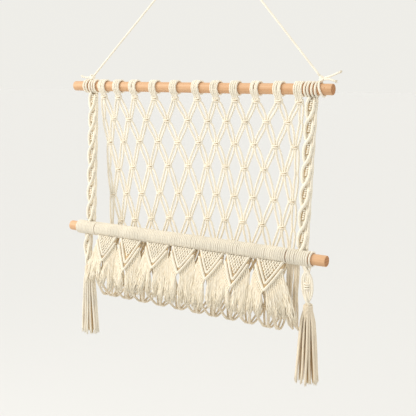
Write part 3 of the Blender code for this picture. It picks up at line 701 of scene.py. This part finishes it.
class MACRAME_OT_pocket(Operator):
    """Turn the net up at its foot and hitch it to the front rod"""

    bl_idname = "macrame.pocket"
    bl_label = "Pocket"

    def execute(self, context):
        radius = context.scene.macrame_sizes.cord / 2
        wraps, inner = net_knots(7, 11)
        strands = [net_strand(index, 7, 11) for index in range(STRANDS)]
        runs = [Run(points[:-END_STEPS], radius) for points in strands] + wraps
        # Above their last knots the strands are in the flaps' shade
        inner += [Run(points[-END_STEPS - 1 :], radius) for points in strands]
        edge = knot_middle(8, LARKS_HEADS[-1], len(LARKS_HEADS) - 1)
        runs += [Run(side_cord(number, edge), radius * 0.9) for number in range(SIDE_CORDS)]
        # The pocket's cords are drawn in a darker cotton: painted shade
        layers = ("Pocket cotton cord", runs), ("Shaded cotton cord", inner)
        add_cords("net_front", ["pocket_foot", "pocket_front"], "cotton", *layers)
        low, high = NET_HITCHES[0] + MM, NET_HITCHES[1] - 0.6 * MM
        pitch = (high - low) / HITCH_LOOPS
        hand = random.Random(5)
        loops = [
            rod_loop(FRONT_ROD, low + (i + 0.5) * pitch, hand.uniform(0.1, 0.5) * MM)
            for i in range(HITCH_LOOPS)
        ]
        wound = ("Wound cotton cord", loops)
        add_cords("front_hitches", ["pocket_hitches"], "cotton", wound)
        return {"FINISHED"}


# The flaps


def flap_ridges(flap, hand):
    """Two rope-like lines of double half hitches down each side, one above the other."""
    runs = []
    for side in (-1, 1):
        for drop, inset in ((FLAP_SHOULDER, 0.0018), (0.0, 0.0030)):
            start = flap.at(side * (flap.half(0.0) - inset), drop, 0.0010)
            line = flap.at(side * 0.0006, drop + 1.0 - FLAP_SHOULDER, 0.0014) - start
            sag = FLAP_DOWN * 0.0012
            way = line.normalized()
            sideways = way.cross(FLAP_OUT)
            count = round(line.length / 0.0019)
            spots = [
                start + line * (i / count) + sag * sin(pi * i / count)
                for i in range(count + 1)
            ]
            runs.append(Run(spots, 0.0017))
            for spot in spots:
                lean = way * (0.0010 * side * hand.uniform(0.8, 1.2))
                runs.append(wrap(spot, sideways * 0.0011 + lean, FLAP_OUT * 0.0010, 0.00115))
    return runs


def flap_field(flap, hand):
    """Small square knots in alternate rows between the ridges, like a field of berries."""
    runs = []
    pitch, height = 0.0043, 0.0036
    for row in range(int(flap.length / height)):
        v = (row + 0.35) * height / flap.length
        room = flap.width / 2 * (1 - (v + 0.01) / (1 - FLAP_SHOULDER)) - 0.0030
        if room < 0:
            break
        number = int(room / pitch) + 1
        for k in range(-number, number + 1):
            x = k * pitch + pitch / 2 * (row % 2)
            if abs(x) > room:
                continue
            at = flap.at(x + hand.uniform(-0.3, 0.3) * MM, v, 0.0009 + hand.uniform(0, 0.4) * MM)
            turn = hand.uniform(-0.5, 0.5) * MM
            for sign in (1, -1):
                middle = at + FLAP_DOWN * (0.00085 * sign) + ACROSS * (turn * 0.4 * sign)
                wide = ACROSS * 0.0011 + FLAP_DOWN * (0.0004 * sign + turn * 0.5)
                runs.append(wrap(middle, wide, FLAP_OUT * 0.0008, 0.00100))
    return runs


def flap_backing(flap, name, rise):
    """The close-packed back of the knots, a thin sheet inside the ridges."""
    bm = bmesh.new()
    bmesh.ops.create_grid(bm, x_segments=6, y_segments=8, size=1)
    for vert in bm.verts:
        v = (1 - vert.co.y) / 2 * 0.97
        vert.co = flap.at(vert.co.x * flap.half(v) * 0.94, v, rise) - HANGING_POINT
    bmesh.ops.solidify(bm, geom=bm.faces[:], thickness=0.0007)
    bmesh.ops.recalc_face_normals(bm, faces=bm.faces)
    layer = bm.loops.layers.uv.new(ALONG)
    for face in bm.faces:
        for loop in face.loops:
            loop[layer].uv = (loop.vert.co.x / 0.006, loop.vert.co.z)
    return finished(bm, name)


class MACRAME_OT_flaps(Operator):
    """Knot the seven pointed flaps in front of the pocket"""

    bl_idname = "macrame.flaps"
    bl_label = "Flaps"

    def execute(self, context):
        for number, flap in enumerate(FLAPS, 1):
            hand = random.Random(number * 7)
            runs = flap_ridges(flap, hand) + flap_field(flap, hand)
            name = f"flap_knots_{number}"
            # In front the sheet is in the shaded cotton, painted shade between the knots; behind it
            # is like the rest of the cotton
            sheets = [flap_backing(flap, name + "_sheet", rise) for rise in (0.0002, -0.0012)]
            mesh = joined(name, [cords(name, runs), *sheets])
            finishes = ("Cotton cord", "Shaded cotton cord", "Cotton cord")
            add_piece(name, mesh, [f"flap_{number}"], "cotton", *finishes)
        return {"FINISHED"}


def fringe_lock(root, foot, side, hand, fibres):
    """A cord end that leaves the flap's edge, and is brushed out below it into fine fibres that
    swell and gather to a thin tip. Gives the fibres, and the shaded core inside them."""
    way = Vector((0.35 * side, -0.25, -1)).normalized()
    neck = root + way * 0.0085
    runs = [Run(through([root - way * 0.001, root + way * 0.004, neck], 2), 0.0014)]
    length = (foot - neck).length
    body = [neck.lerp(foot, t) for t in (-0.02, 0.15, 0.35, 0.55, 0.75, 0.90)]
    swells = [0.0027 * sin(pi * (0.13 + 0.83 * i / 10)) ** 0.7 for i in range(11)]
    steps = max(6, round(length / 0.005))
    for number in range(fibres):
        turn = GOLDEN_TURN * number + hand.uniform(-0.3, 0.3)
        share = 0.55 + 0.45 * sqrt((number + 0.5) / fibres)
        aside = Vector((cos(turn) * share, 0.8 * sin(turn) * share, 0))
        cut = 1.0 + hand.uniform(-0.14, 0.05)
        wave, phase = hand.uniform(0.3, 1.15) * MM, hand.uniform(0, 6.28)
        points, radii = [], []
        for i in range(steps + 1):
            t = i / steps * cut
            swell = 0.0010 + 0.0027 * sin(pi * min(0.76 * t, 1.0)) ** 0.9
            sway = wave * sin(phase + 330 * length * t) * min(1.0, 2.5 * t)
            points.append(neck.lerp(foot, t) + aside * swell + Vector((sway, 0.6 * sway, 0)))
            radii.append(0.00088 if t < 0.7 else 0.00060)
        runs.append(Run(points, [*radii[:-1], 0.00015]))
    return runs, Run(through(body, 2), swells)


def fringe_foot(flap, side, place, root, hand):
    """Where a lock ends. Three or four locks cling together in a tuft."""
    x = flap.middle + (root.x - flap.middle) * 1.10 + side * MM + flap.lean
    parting = 1.4 * MM
    aside = parting * side
    if flap is FLAPS[-1] and side > 0:
        aside += 0.0180 * (1 - place)
    if flap is FLAPS[0] and side < 0:
        aside *= 0.5
    spacing = flap.width / 3.7
    tuft = flap.middle + (round((x - flap.middle) / spacing - 0.5) + 0.5) * spacing
    x += 0.84 * (tuft - x) + aside + 2.2 * MM * sin(900 * tuft) + hand.uniform(-0.8, 0.8) * MM
    drop = 3.4 * sin(24 * place + 5 * side + 40 * flap.middle) - 3.5 * cos(500 * tuft)
    depth = FRINGE_DEPTH + 2.5 * MM * sin(400 * tuft) + hand.uniform(-1.2, 1.2) * MM
    return Vector((x, depth + 0.5 * max(aside - parting, 0), FRINGE_FOOT - drop * MM))


class MACRAME_OT_fringes(Operator):
    """Hang the brushed fringe from the flaps' slanting edges"""

    bl_idname = "macrame.fringes"
    bl_label = "Fringes"

    def execute(self, context):
        sizes = context.scene.macrame_sizes
        for number, flap in enumerate(FLAPS, 1):
            hand = random.Random(number * 13)
            runs, cores = [], []
            for side in (-1, 1):
                for i in range(sizes.locks):
                    place = (i + 0.4) / sizes.locks
                    v = FLAP_SHOULDER + (1 - FLAP_SHOULDER) * place
                    root = flap.at(side * (flap.half(v) - 0.0008), v + 0.02, -0.0006)
                    foot = fringe_foot(flap, side, place, root, hand)
                    fibres, core = fringe_lock(root, foot, side, hand, sizes.fibres)
                    runs += fibres
                    cores.append(core)
            layers = ("Brushed cotton", runs, 4), ("Shaded brushed cotton", cores, 4)
            add_cords(f"fringe_{number}", [], "cotton", *layers)
        return {"FINISHED"}


# The straps and tassels


def strap_middle(strap, z):
    """The middle of a strap at a height, between the top rod and the front rod."""
    upper, lower = Vector((strap.top, -0.0018, -0.0133)), Vector((strap.foot, -0.028, -0.21296))
    return upper.lerp(lower, (z - upper.z) / (lower.z - upper.z))


# One repeat of a strap, in millimetres from the middle of its slanting ridge: across, down and
# towards the eye
RIDGE = ((0.6, -28.0, -3.0), (2.2, -22.0, -0.6), (3.0, -15.0, 1.3), (2.5, -8.0, 2.4))
RIDGE += ((0.4, -2.2, 2.9), (-2.8, 2.8, 2.7), (-5.8, 7.5, 1.9), (-7.7, 13.0, 0.9))
RIDGE += ((-8.2, 19.5, 0.0), (-7.4, 27.0, -0.8), (-5.2, 33.0, -2.4))
BACK_RIDGE = [(-0.6 * x - 1.5, down + 14.5, -4.6 - 0.6 * rise) for x, down, rise in RIDGE]
EDGE_CORD = ((3.8, -13.0, -1.4), (5.4, -7.0, 0.4), (5.9, 0.0, 1.0))
EDGE_CORD += ((5.4, 7.0, 0.4), (3.8, 13.0, -1.4))
# Across, and towards the eye: the cords that run straight down, and those of a hollow
CORE_CORDS = ((-6.6, -2.0), (-4.0, -2.9), (-1.4, -2.4), (1.2, -2.9), (3.6, -2.2), (5.6, -1.4))
HOLLOW = ((-5.6, -0.5), (-3.6, -0.9), (-1.4, -0.9))


def spiral(at, top, foot, hand):
    """A broad spiral sennit between two heights. In each repeat a thick ridge slants across the
    front, a shaded hollow opens beside it, and the knots that turn it show at the right edge."""
    runs, shaded = [], []
    for x, rise in CORE_CORDS:
        heights = np.linspace(top, foot, max(6, round((top - foot) / 0.007)))
        spots = [at(x + 0.5 * sin(217 * z + x), z, rise) for z in heights]
        runs.append(Run(spots, 0.00165))
    for repeat in range(-1, 10):
        middle = -0.0360 - SENNIT_PITCH * repeat + hand.uniform(-0.6, 0.6) * MM

        def along(points):
            """The points of a repeat that lie between the two heights."""
            places = [(x, middle - down * MM, rise) for x, down, rise in points]
            return [at(x, z, rise) for x, z, rise in places if foot - 0.0010 < z < top + 0.0006]

        for points, radius in ((RIDGE, 0.0023), (EDGE_CORD, 0.0014), (BACK_RIDGE, 0.0019)):
            route = along(points)
            if len(route) > 2:
                runs.append(Run(through(route), radius))
        for x, rise in HOLLOW:
            spots = (x + 1.0, 4.0, rise - 1.0), (x, 13.0, rise), (x - 0.7, 22.0, rise - 0.8)
            route = along(spots)
            if len(route) == 3:
                swells = [sin(pi * (0.08 + 0.84 * i / 8)) ** 0.5 for i in range(9)]
                shaded.append(Run(through(route), [0.0014 * swell for swell in swells]))
        # Turns of cord: four at the right edge, and five between the hollow and the next ridge
        for number in range(4):
            z = middle - (10.4 + 2.3 * number) * MM
            if foot < z < top:
                wide = Vector((0.0017, 0, hand.uniform(0.2, 0.6) * MM))
                runs.append(wrap(at(4.6, z, -0.4), wide, BACKWARD * 0.0018, 0.0010))
        for number in range(5):
            z = middle - (7.4 + 2.8 * number) * MM
            if foot < z < top:
                wide = Vector((0.0011, 0, hand.uniform(-0.5, 0.5) * MM))
                x = -2.1 + 0.7 * sin(0.9 * number + 0.4)
                runs.append(wrap(at(x, z, 0.3), wide, BACKWARD * 0.0012, 0.0012))
    return runs, shaded


def sennit(strap, hand):
    """The strap from the top rod to the front rod, and at the left on to its tassel."""

    def at(x, z, rise):
        return strap_middle(strap, z) + Vector((x * MM, -rise * MM, 0))

    def below(x, z, rise):
        share = (TAIL_TOP - z) / (TAIL_TOP - TAIL_FOOT)
        upper, lower = Vector((strap.tail, TAIL_DEPTH, z)), Vector((strap.tassel, TASSEL_DEPTH, z))
        middle = upper.lerp(lower, share)
        narrow = 1 - 0.55 * max(0.0, share) ** 3
        return middle + Vector((x * narrow * 0.9 * MM, -rise * narrow * MM, 0))

    runs, shaded = spiral(at, -0.0085, -0.2135, hand)
    if strap.side == "left":
        more = spiral(below, TAIL_TOP, TAIL_FOOT, hand)
        runs, shaded = runs + more[0], shaded + more[1]
    else:
        runs += lower_sennit(strap)
    return runs, shaded


# A cord of the right strap's lower part: its share of the way down, its place to the side in
# millimetres, how far the inner cord of the pair lies inside that, how far it lies forward, and
# where the pairs cross over (1) or under (-1)
BOWED = ((0.0, -4.8, -1.0, 0.0, 1), (0.13, 1.0, 0.3, 0.6, 1), (0.30, 6.2, 0.8, 0.5, 0))
BOWED += ((0.50, 7.6, 1.0, 0.4, 0), (0.72, 6.4, 1.0, 0.4, 0), (0.88, 2.0, 0.4, 0.6, -1))
BOWED += ((1.0, -3.2, -1.0, 0.0, -1),)


def lower_sennit(strap):
    """Below the front rod at the right: two pairs of cords cross, bow out round a small knot and
    cross again above the tassel."""
    runs = []
    top = Vector((strap.tail - 0.0006, TAIL_DEPTH, TAIL_TOP))
    foot = Vector((strap.tassel, TASSEL_DEPTH, TAIL_FOOT))

    def at(t, x, rise=0.0):
        return top.lerp(foot, t) + Vector((x, -rise, 0)) * MM

    for side in (-1, 1):
        for inset in (0.0, 3.0):
            points = [
                at(t, side * (x - inset * share), rise + 1.3 * side * over)
                for t, x, share, rise, over in BOWED
            ]
            runs.append(Run(through(points, 5), 0.0015))
        core = [at(0.0, side * 6.0), at(0.3, side * 1.6), at(0.9, 0)]
        runs.append(Run(through(core), 0.0014))
    for t, tilt in ((0.46, -0.0004), (0.52, 0.0004), (0.58, 0.0004)):
        wide = Vector((0.0034, 0, tilt))
        runs.append(wrap(at(t, 0.0, 1.0), wide, BACKWARD * 0.0026, 0.0012, 10))
    return runs


def tassel(strap, hand):
    """A wrapped head, and the cords that hang out of it: the outer and the shaded inner ones."""
    outer, inner = [], []
    top, foot = TASSEL_HEAD
    axis = Vector((strap.tassel, TASSEL_DEPTH, 0))
    coil = []
    for i in range(HEAD_TURNS * 12 + 1):
        t = i / (HEAD_TURNS * 12)
        turn = 2 * pi * HEAD_TURNS * t
        reach = 0.0050 + 0.0007 * sin(pi * t)
        height = top - 0.0014 + (foot - top + 0.0026) * t
        coil.append(axis + Vector((reach * cos(turn), reach * sin(turn), height)))
    head = [Run(coil, 0.0014)]
    for spot in ring(axis + UP * top, ACROSS * 0.0027, BACKWARD * 0.0027, 6):
        head.append(Run([spot + UP * 0.0008, spot - UP * 0.0100], 0.0016))
    strands = INNER_STRANDS + OUTER_STRANDS
    for number in range(strands):
        if number < INNER_STRANDS:
            layer, radius = inner, 0.0014
            share, turn = sqrt((number + 0.5) / strands), GOLDEN_TURN * number
        else:
            layer, radius = outer, 0.0016
            share = 0.86 + 0.14 * (number % 2)
            turn = 2 * pi * (number + hand.uniform(-0.2, 0.2)) / OUTER_STRANDS
        x, y = cos(turn) * share, sin(turn) * share
        length = TASSEL_FOOT + hand.uniform(-3.0, 2.0) * MM - top + 0.006
        points = []
        for i in range(12):
            t = i / 11
            fan = 0.0046 + (strap.fan - 0.0074) * t**0.85 + 0.0028 * min(1.0, 6 * t)
            sway = 0.0007 * sin(number * 1.7 + 5 * t) * t
            height = top - 0.006 + length * t
            points.append(axis + Vector((x * fan + sway, y * fan * 0.75, height)))
        layer.append(Run(points, radius))
        end, way = points[-1], (points[-1] - points[-2]).normalized()
        for hair in ring(Vector(), ACROSS, BACKWARD, 5):
            around = Matrix.Rotation(number, 3, "Z") @ hair * 0.0007
            tip = end + around * hand.uniform(1.5, 3.0) + way * hand.uniform(1.2, 2.8) * MM
            route = [end + around - way * 0.003, end + around * 1.2, tip]
            outer.append(Run(route, [0.00045, 0.0004, 0.00015]))
    return head, outer, inner


class MACRAME_OT_straps(Operator):
    """Knot a strap at each side, from the top rod to below the front rod"""

    bl_idname = "macrame.straps"
    bl_label = "Straps"

    def execute(self, context):
        for strap in STRAPS:
            hand = random.Random(strap.side)
            runs, shaded = sennit(strap, hand)
            for number, x in enumerate(strap.loops):
                runs.append(rod_loop(TOP_ROD, x, (0.9 - 0.5 * number) * MM, 0.00165))
            low, high = strap.hitches
            wound = []
            if strap.side == "right":
                # The last turn stands apart from the rest
                wound.append(rod_loop(FRONT_ROD, high - 1.7 * MM, 0.3 * MM))
                low, high = low + 0.4 * MM, high - 4.6 * MM
            loops = round((high - low) / (3.1 * MM))
            for i in range(loops):
                x = low + (high - low) * (i + 0.5) / loops
                wound.append(rod_loop(FRONT_ROD, x, hand.uniform(0.0, 0.5) * MM))
            layers = ("Cotton cord", runs), ("Shaded cotton cord", shaded)
            name = f"strap_sennit_{strap.side}"
            wound = ("Wound cotton cord", wound)
            add_cords(name, [f"strap_{strap.side}"], "cotton", *layers, wound)
        return {"FINISHED"}


class MACRAME_OT_tassels(Operator):
    """Bind a tassel at the foot of each strap"""

    bl_idname = "macrame.tassels"
    bl_label = "Tassels"

    def execute(self, context):
        for strap in STRAPS:
            head, outer, inner = tassel(strap, random.Random(strap.side + "t"))
            # The heads, and the right tassel's outer cords, are drawn in a darker cotton: painted
            # shade
            head = ("Pocket cotton cord", head)
            add_cords(f"tassel_head_{strap.side}", [], "cotton", head)
            cotton = "Cotton cord" if strap.side == "left" else "Pocket cotton cord"
            layers = (cotton, outer), ("Shaded cotton cord", inner)
            name = f"tassel_cords_{strap.side}"
            add_cords(name, [f"tassel_{strap.side}"], "cotton", *layers)
        return {"FINISHED"}


# The hanging cord and its ties


def hanger_route(radius):
    """The hanging cord's middle line: straight from each tie to the round bight between."""
    centre = HANGING_POINT - UP * (radius + HANGER_BEND)
    ends = []
    for strap in STRAPS:
        knot = ACROSS * strap.tie + TIE_KNOT
        ends.append(knot + (centre - knot).normalized() * 0.0047)
    left, right = ends
    first = pi / 2 + atan2(centre.z - left.z, centre.x - left.x)
    last = pi / 2 - atan2(centre.z - right.z, right.x - centre.x)
    bend = []
    for i in range(9):
        angle = first + (last - first) * i / 8
        bend.append(centre + Vector((cos(angle), 0, sin(angle))) * HANGER_BEND)
    left_run = [left.lerp(bend[0], i / 40) for i in range(40)]
    return left_run + bend + [bend[-1].lerp(right, i / 40) for i in range(1, 41)]


class MACRAME_OT_hanging_cord(Operator):
    """Lay the hanging cord from tie to tie over the hanging point"""

    bl_idname = "macrame.hanging_cord"
    bl_label = "Hanging cord"

    def execute(self, context):
        radius = context.scene.macrame_sizes.hanging_cord / 2
        route = hanger_route(radius)
        layer = ("Hanging cotton cord", [Run(route, radius)], 8)
        piece = add_cords("hanger", ["hanging_cord"], "hanger", layer)
        path = [tuple(point - HANGING_POINT) for point in route]
        length = sum(dist(a, b) for a, b in zip(path, path[1:]))
        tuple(path[0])
        return {"FINISHED"}


def tie_runs(strap, hand):
    """A ring round the rod, an overhand knot on it, and short tails with a frayed end."""
    rod = ACROSS * strap.tie
    knot = rod + TIE_KNOT
    slant = Vector((-0.0030 if strap.side == "right" else 0.0004, 0, SLEEVE))
    runs = [wrap(rod, BACKWARD * SLEEVE, slant, LOOP_CORD, 18)]
    for lean, tilt in ((0.0014, 0.0010), (-0.0012, 0.0016), (0.0002, -0.0018)):
        wide, deep = Vector((0.0030, lean, tilt)), Vector((-lean * 0.6, 0.0025, 0.0011))
        runs.append(wrap(knot - UP * (tilt * 0.6), wide, deep, 0.0015, 12))
    stem = [knot, knot - Vector((0.0006, 0.0006, 0.0042)), rod + UP * SLEEVE]
    toward = (HANGING_POINT - knot).normalized()
    runs += [Run(stem, 0.0015), Run([knot, knot + toward * 0.0046], 0.0015)]
    tufts = []
    for route in TIE_TAILS[strap.side]:
        points = through([knot + Vector(p) for p in route], 5)
        runs.append(Run(points, 0.00145))
        end, way = points[-1], (points[-1] - points[-2]).normalized()
        aside = way.cross(BACKWARD).normalized()
        for off in ring(Vector(), aside * 0.0008, BACKWARD * 0.0008, 14):
            reach = hand.uniform(2.2, 4.6) * MM
            tip = end + way * reach + off * hand.uniform(1.2, 2.8)
            strand = [end + off - way * 0.002, end + off * 1.3, tip]
            tufts.append(Run(strand, [0.0004, 0.0004, 0.00012]))
    return runs, tufts


class MACRAME_OT_ties(Operator):
    """Tie the hanging cord to the top rod at both ends"""

    bl_idname = "macrame.ties"
    bl_label = "Ties"

    def execute(self, context):
        for strap in STRAPS:
            runs, tufts = tie_runs(strap, random.Random(strap.side))
            layers = ("Hanging cotton cord", runs), ("Brushed cotton", tufts)
            name = f"hanger_tie_{strap.side}"
            add_cords(name, [f"tie_{strap.side}"], "hanger", *layers)
        return {"FINISHED"}


# The rods


def rod_mesh(name, middle, radius):
    """A round dowel with softened rims. Its ends have the second material's place."""

    def reach(edge):
        """How far an edge goes along the rod."""
        return abs(edge.verts[0].co.x - edge.verts[1].co.x)

    bm = bmesh.new()
    bmesh.ops.create_cone(
        bm, cap_ends=True, segments=48, radius1=radius, radius2=radius, depth=ROD_LENGTH
    )
    bmesh.ops.rotate(bm, verts=bm.verts, matrix=Matrix.Rotation(pi / 2, 3, "Y"))
    rims = [edge for edge in bm.edges if reach(edge) < MM]
    bmesh.ops.bevel(
        bm, geom=rims, affect="EDGES", offset=0.0009, offset_type="OFFSET", segments=3,
        profile=0.5, material=-1,
    )
    long_edges = [edge for edge in bm.edges if reach(edge) > ROD_LENGTH / 2]
    bmesh.ops.subdivide_edges(bm, edges=long_edges, cuts=24, use_grid_fill=True)
    for face in bm.faces:
        face.material_index = 1 if abs(face.normal.x) > 0.9 else 0
        face.smooth = abs(face.normal.x) < 0.99
    for vert in bm.verts:
        # A dowel is never quite straight: it bows by a third of a millimetre
        vert.co.z -= 0.0003 * (1 - (2 * vert.co.x / ROD_LENGTH) ** 2)
    bmesh.ops.translate(bm, verts=bm.verts, vec=middle - HANGING_POINT)
    return finished(bm, name)


class MACRAME_OT_rods(Operator):
    """Turn the two wooden rods"""

    bl_idname = "macrame.rods"
    bl_label = "Rods"

    def execute(self, context):
        radius = context.scene.macrame_sizes.rod / 2
        for side, middle in (("top", TOP_ROD), ("front", FRONT_ROD)):
            name = f"dowel_{side}"
            mesh = rod_mesh(name, middle, radius)
            add_piece(name, mesh, [f"{side}_rod"], "wood", "Sanded beech", "Beech end grain")
        return {"FINISHED"}


# The stage


class MACRAME_OT_camera(Operator):
    """Stand the camera where the photograph was taken from"""

    bl_idname = "macrame.camera"
    bl_label = "Camera"

    def execute(self, context):
        data = bpy.data.cameras.new("camera")
        data.lens, data.sensor_width = CAMERA_LENS, 36.0
        camera = placed("camera", data)
        camera.location, camera.rotation_euler = CAMERA_AT, CAMERA_TURN
        context.scene.camera = camera
        return {"FINISHED"}


class MACRAME_OT_stage(Operator):
    """Set up the pale floor and the soft studio light"""

    bl_idname = "macrame.stage"
    bl_label = "Stage"

    def execute(self, context):
        sizes = context.scene.macrame_sizes
        bm = bmesh.new()
        bmesh.ops.create_grid(bm, x_segments=8, y_segments=8, size=30)
        bmesh.ops.translate(bm, verts=bm.verts, vec=(0, 0, sizes.floor))
        mesh = finished(bm, "floor")
        made, _ = blank_material("Painted floor")
        shader = made.node_tree.nodes["Principled BSDF"]
        shader.inputs["Base Color"].default_value = FLOOR_COLOUR
        shader.inputs["Roughness"].default_value = 0.9
        mesh.materials.append(made)
        placed("floor", mesh)
        world = bpy.data.worlds.new("Studio")
        world.use_nodes = True
        backdrop = world.node_tree.nodes["Background"]
        backdrop.inputs["Color"].default_value = DAYLIGHT_COLOUR
        backdrop.inputs["Strength"].default_value = sizes.daylight
        context.scene.world = world
        context.scene.view_settings.view_transform = "Standard"
        for name, kind, at, strength, spread in LIGHTS:
            data = bpy.data.lights.new(name, kind)
            data.color = LAMP_COLOUR
            data.energy = sizes.key_light * strength
            setattr(data, "angle" if kind == "SUN" else "size", spread)
            light = placed(name, data)
            light.location = at
            aim = LIGHTS_AIM - light.location
            light.rotation_euler = aim.to_track_quat("-Z", "Y").to_euler()
        return {"FINISHED"}


# The add-on


def metres(name, description, default, **limits):
    """A length that a user may change."""
    return FloatProperty(
        name=name, description=description, default=default, subtype="DISTANCE", unit="LENGTH",
        precision=4, **limits,
    )


def cord_size(name, description, default):
    return metres(name, description, default, min=0.002, max=0.005)


def brightness(name, description, default):
    return FloatProperty(name=name, description=description, default=default, min=0)


def colour(name, description, hex_code):
    return FloatVectorProperty(
        name=name, description=description, default=linear(hex_code), min=0, max=1, subtype="COLOR"
    )


class MACRAME_PG_sizes(PropertyGroup):
    """Sizes and light"""

    cord: cord_size("Knotting cord", "Diameter of the cotton cord", 0.0035)
    hanging_cord: cord_size("Hanging cord", "Diameter of the cord that it hangs by", 0.0030)
    rod: metres("Rod", "Diameter of both rods", 0.0150, min=0.010, max=0.0154)
    locks: IntProperty(
        name="Locks", description="Locks of fringe on a side of a flap", default=10, min=3, max=12
    )
    fibres: IntProperty(
        name="Fibres", description="Fibres in each lock of fringe", default=14, min=6, max=24
    )
    floor: metres("Floor height", "Height of the floor under the hanging point", -1.1)
    daylight: brightness("Daylight", "Strength of the light from all round", 0.86)
    key_light: brightness("Key light", "Strength of the soft light from the upper left", 1.2)


class MACRAME_PG_colours(PropertyGroup):
    """Colours of the cotton and the wood"""

    cotton: colour("Cotton", "Colour of the undyed cotton", "#F8F1E2")
    # The hollow colour is painted shade in the grooves between the plies
    hollow: colour("Cotton hollows", "Colour of the cotton between its plies", "#EEE3CC")
    # The shaded colour is painted shade, for cords and sheets drawn dark where little light reaches
    shaded: colour("Shaded cotton", "Colour of the cords deep inside the knots", "#D8C09A")
    wood: colour("Beech", "Colour of the bare wood", "#DDB38A")
    wood_dark: colour("Beech grain", "Colour of the darker grain", "#C08A5C")
    end_dark: colour("End grain", "Colour of the rings on the sawn ends", "#8A5A34")


MADE_IN_ORDER = (
    MACRAME_OT_camera,
    MACRAME_OT_hanging_cord,
    MACRAME_OT_ties,
    MACRAME_OT_rods,
    MACRAME_OT_net,
    MACRAME_OT_pocket,
    MACRAME_OT_flaps,
    MACRAME_OT_fringes,
    MACRAME_OT_straps,
    MACRAME_OT_tassels,
    MACRAME_OT_stage,
)


class MACRAME_PT_panel(Panel):
    """Sizes, colours and the steps of making"""

    bl_label = "Macrame net pocket"
    bl_idname = "MACRAME_PT_panel"
    bl_space_type = "VIEW_3D"
    bl_region_type = "UI"
    bl_category = "Macrame"

    def draw(self, context):
        for group in (context.scene.macrame_sizes, context.scene.macrame_colours):
            box = self.layout.box()
            for name in group.__annotations__:
                box.prop(group, name)
        for operator in MADE_IN_ORDER:
            self.layout.operator(operator.bl_idname)


CLASSES = (MACRAME_PG_sizes, MACRAME_PG_colours, *MADE_IN_ORDER, MACRAME_PT_panel)


def register():
    for cls in CLASSES:
        bpy.utils.register_class(cls)
    bpy.types.Scene.macrame_sizes = PointerProperty(type=MACRAME_PG_sizes)
    bpy.types.Scene.macrame_colours = PointerProperty(type=MACRAME_PG_colours)


def unregister():
    del bpy.types.Scene.macrame_colours
    del bpy.types.Scene.macrame_sizes
    for cls in reversed(CLASSES):
        bpy.utils.unregister_class(cls)


def main():
    register()
    for operator in MADE_IN_ORDER:
        group, name = operator.bl_idname.split(".")
        getattr(getattr(bpy.ops, group), name)()


if __name__ == "__main__":
    main()
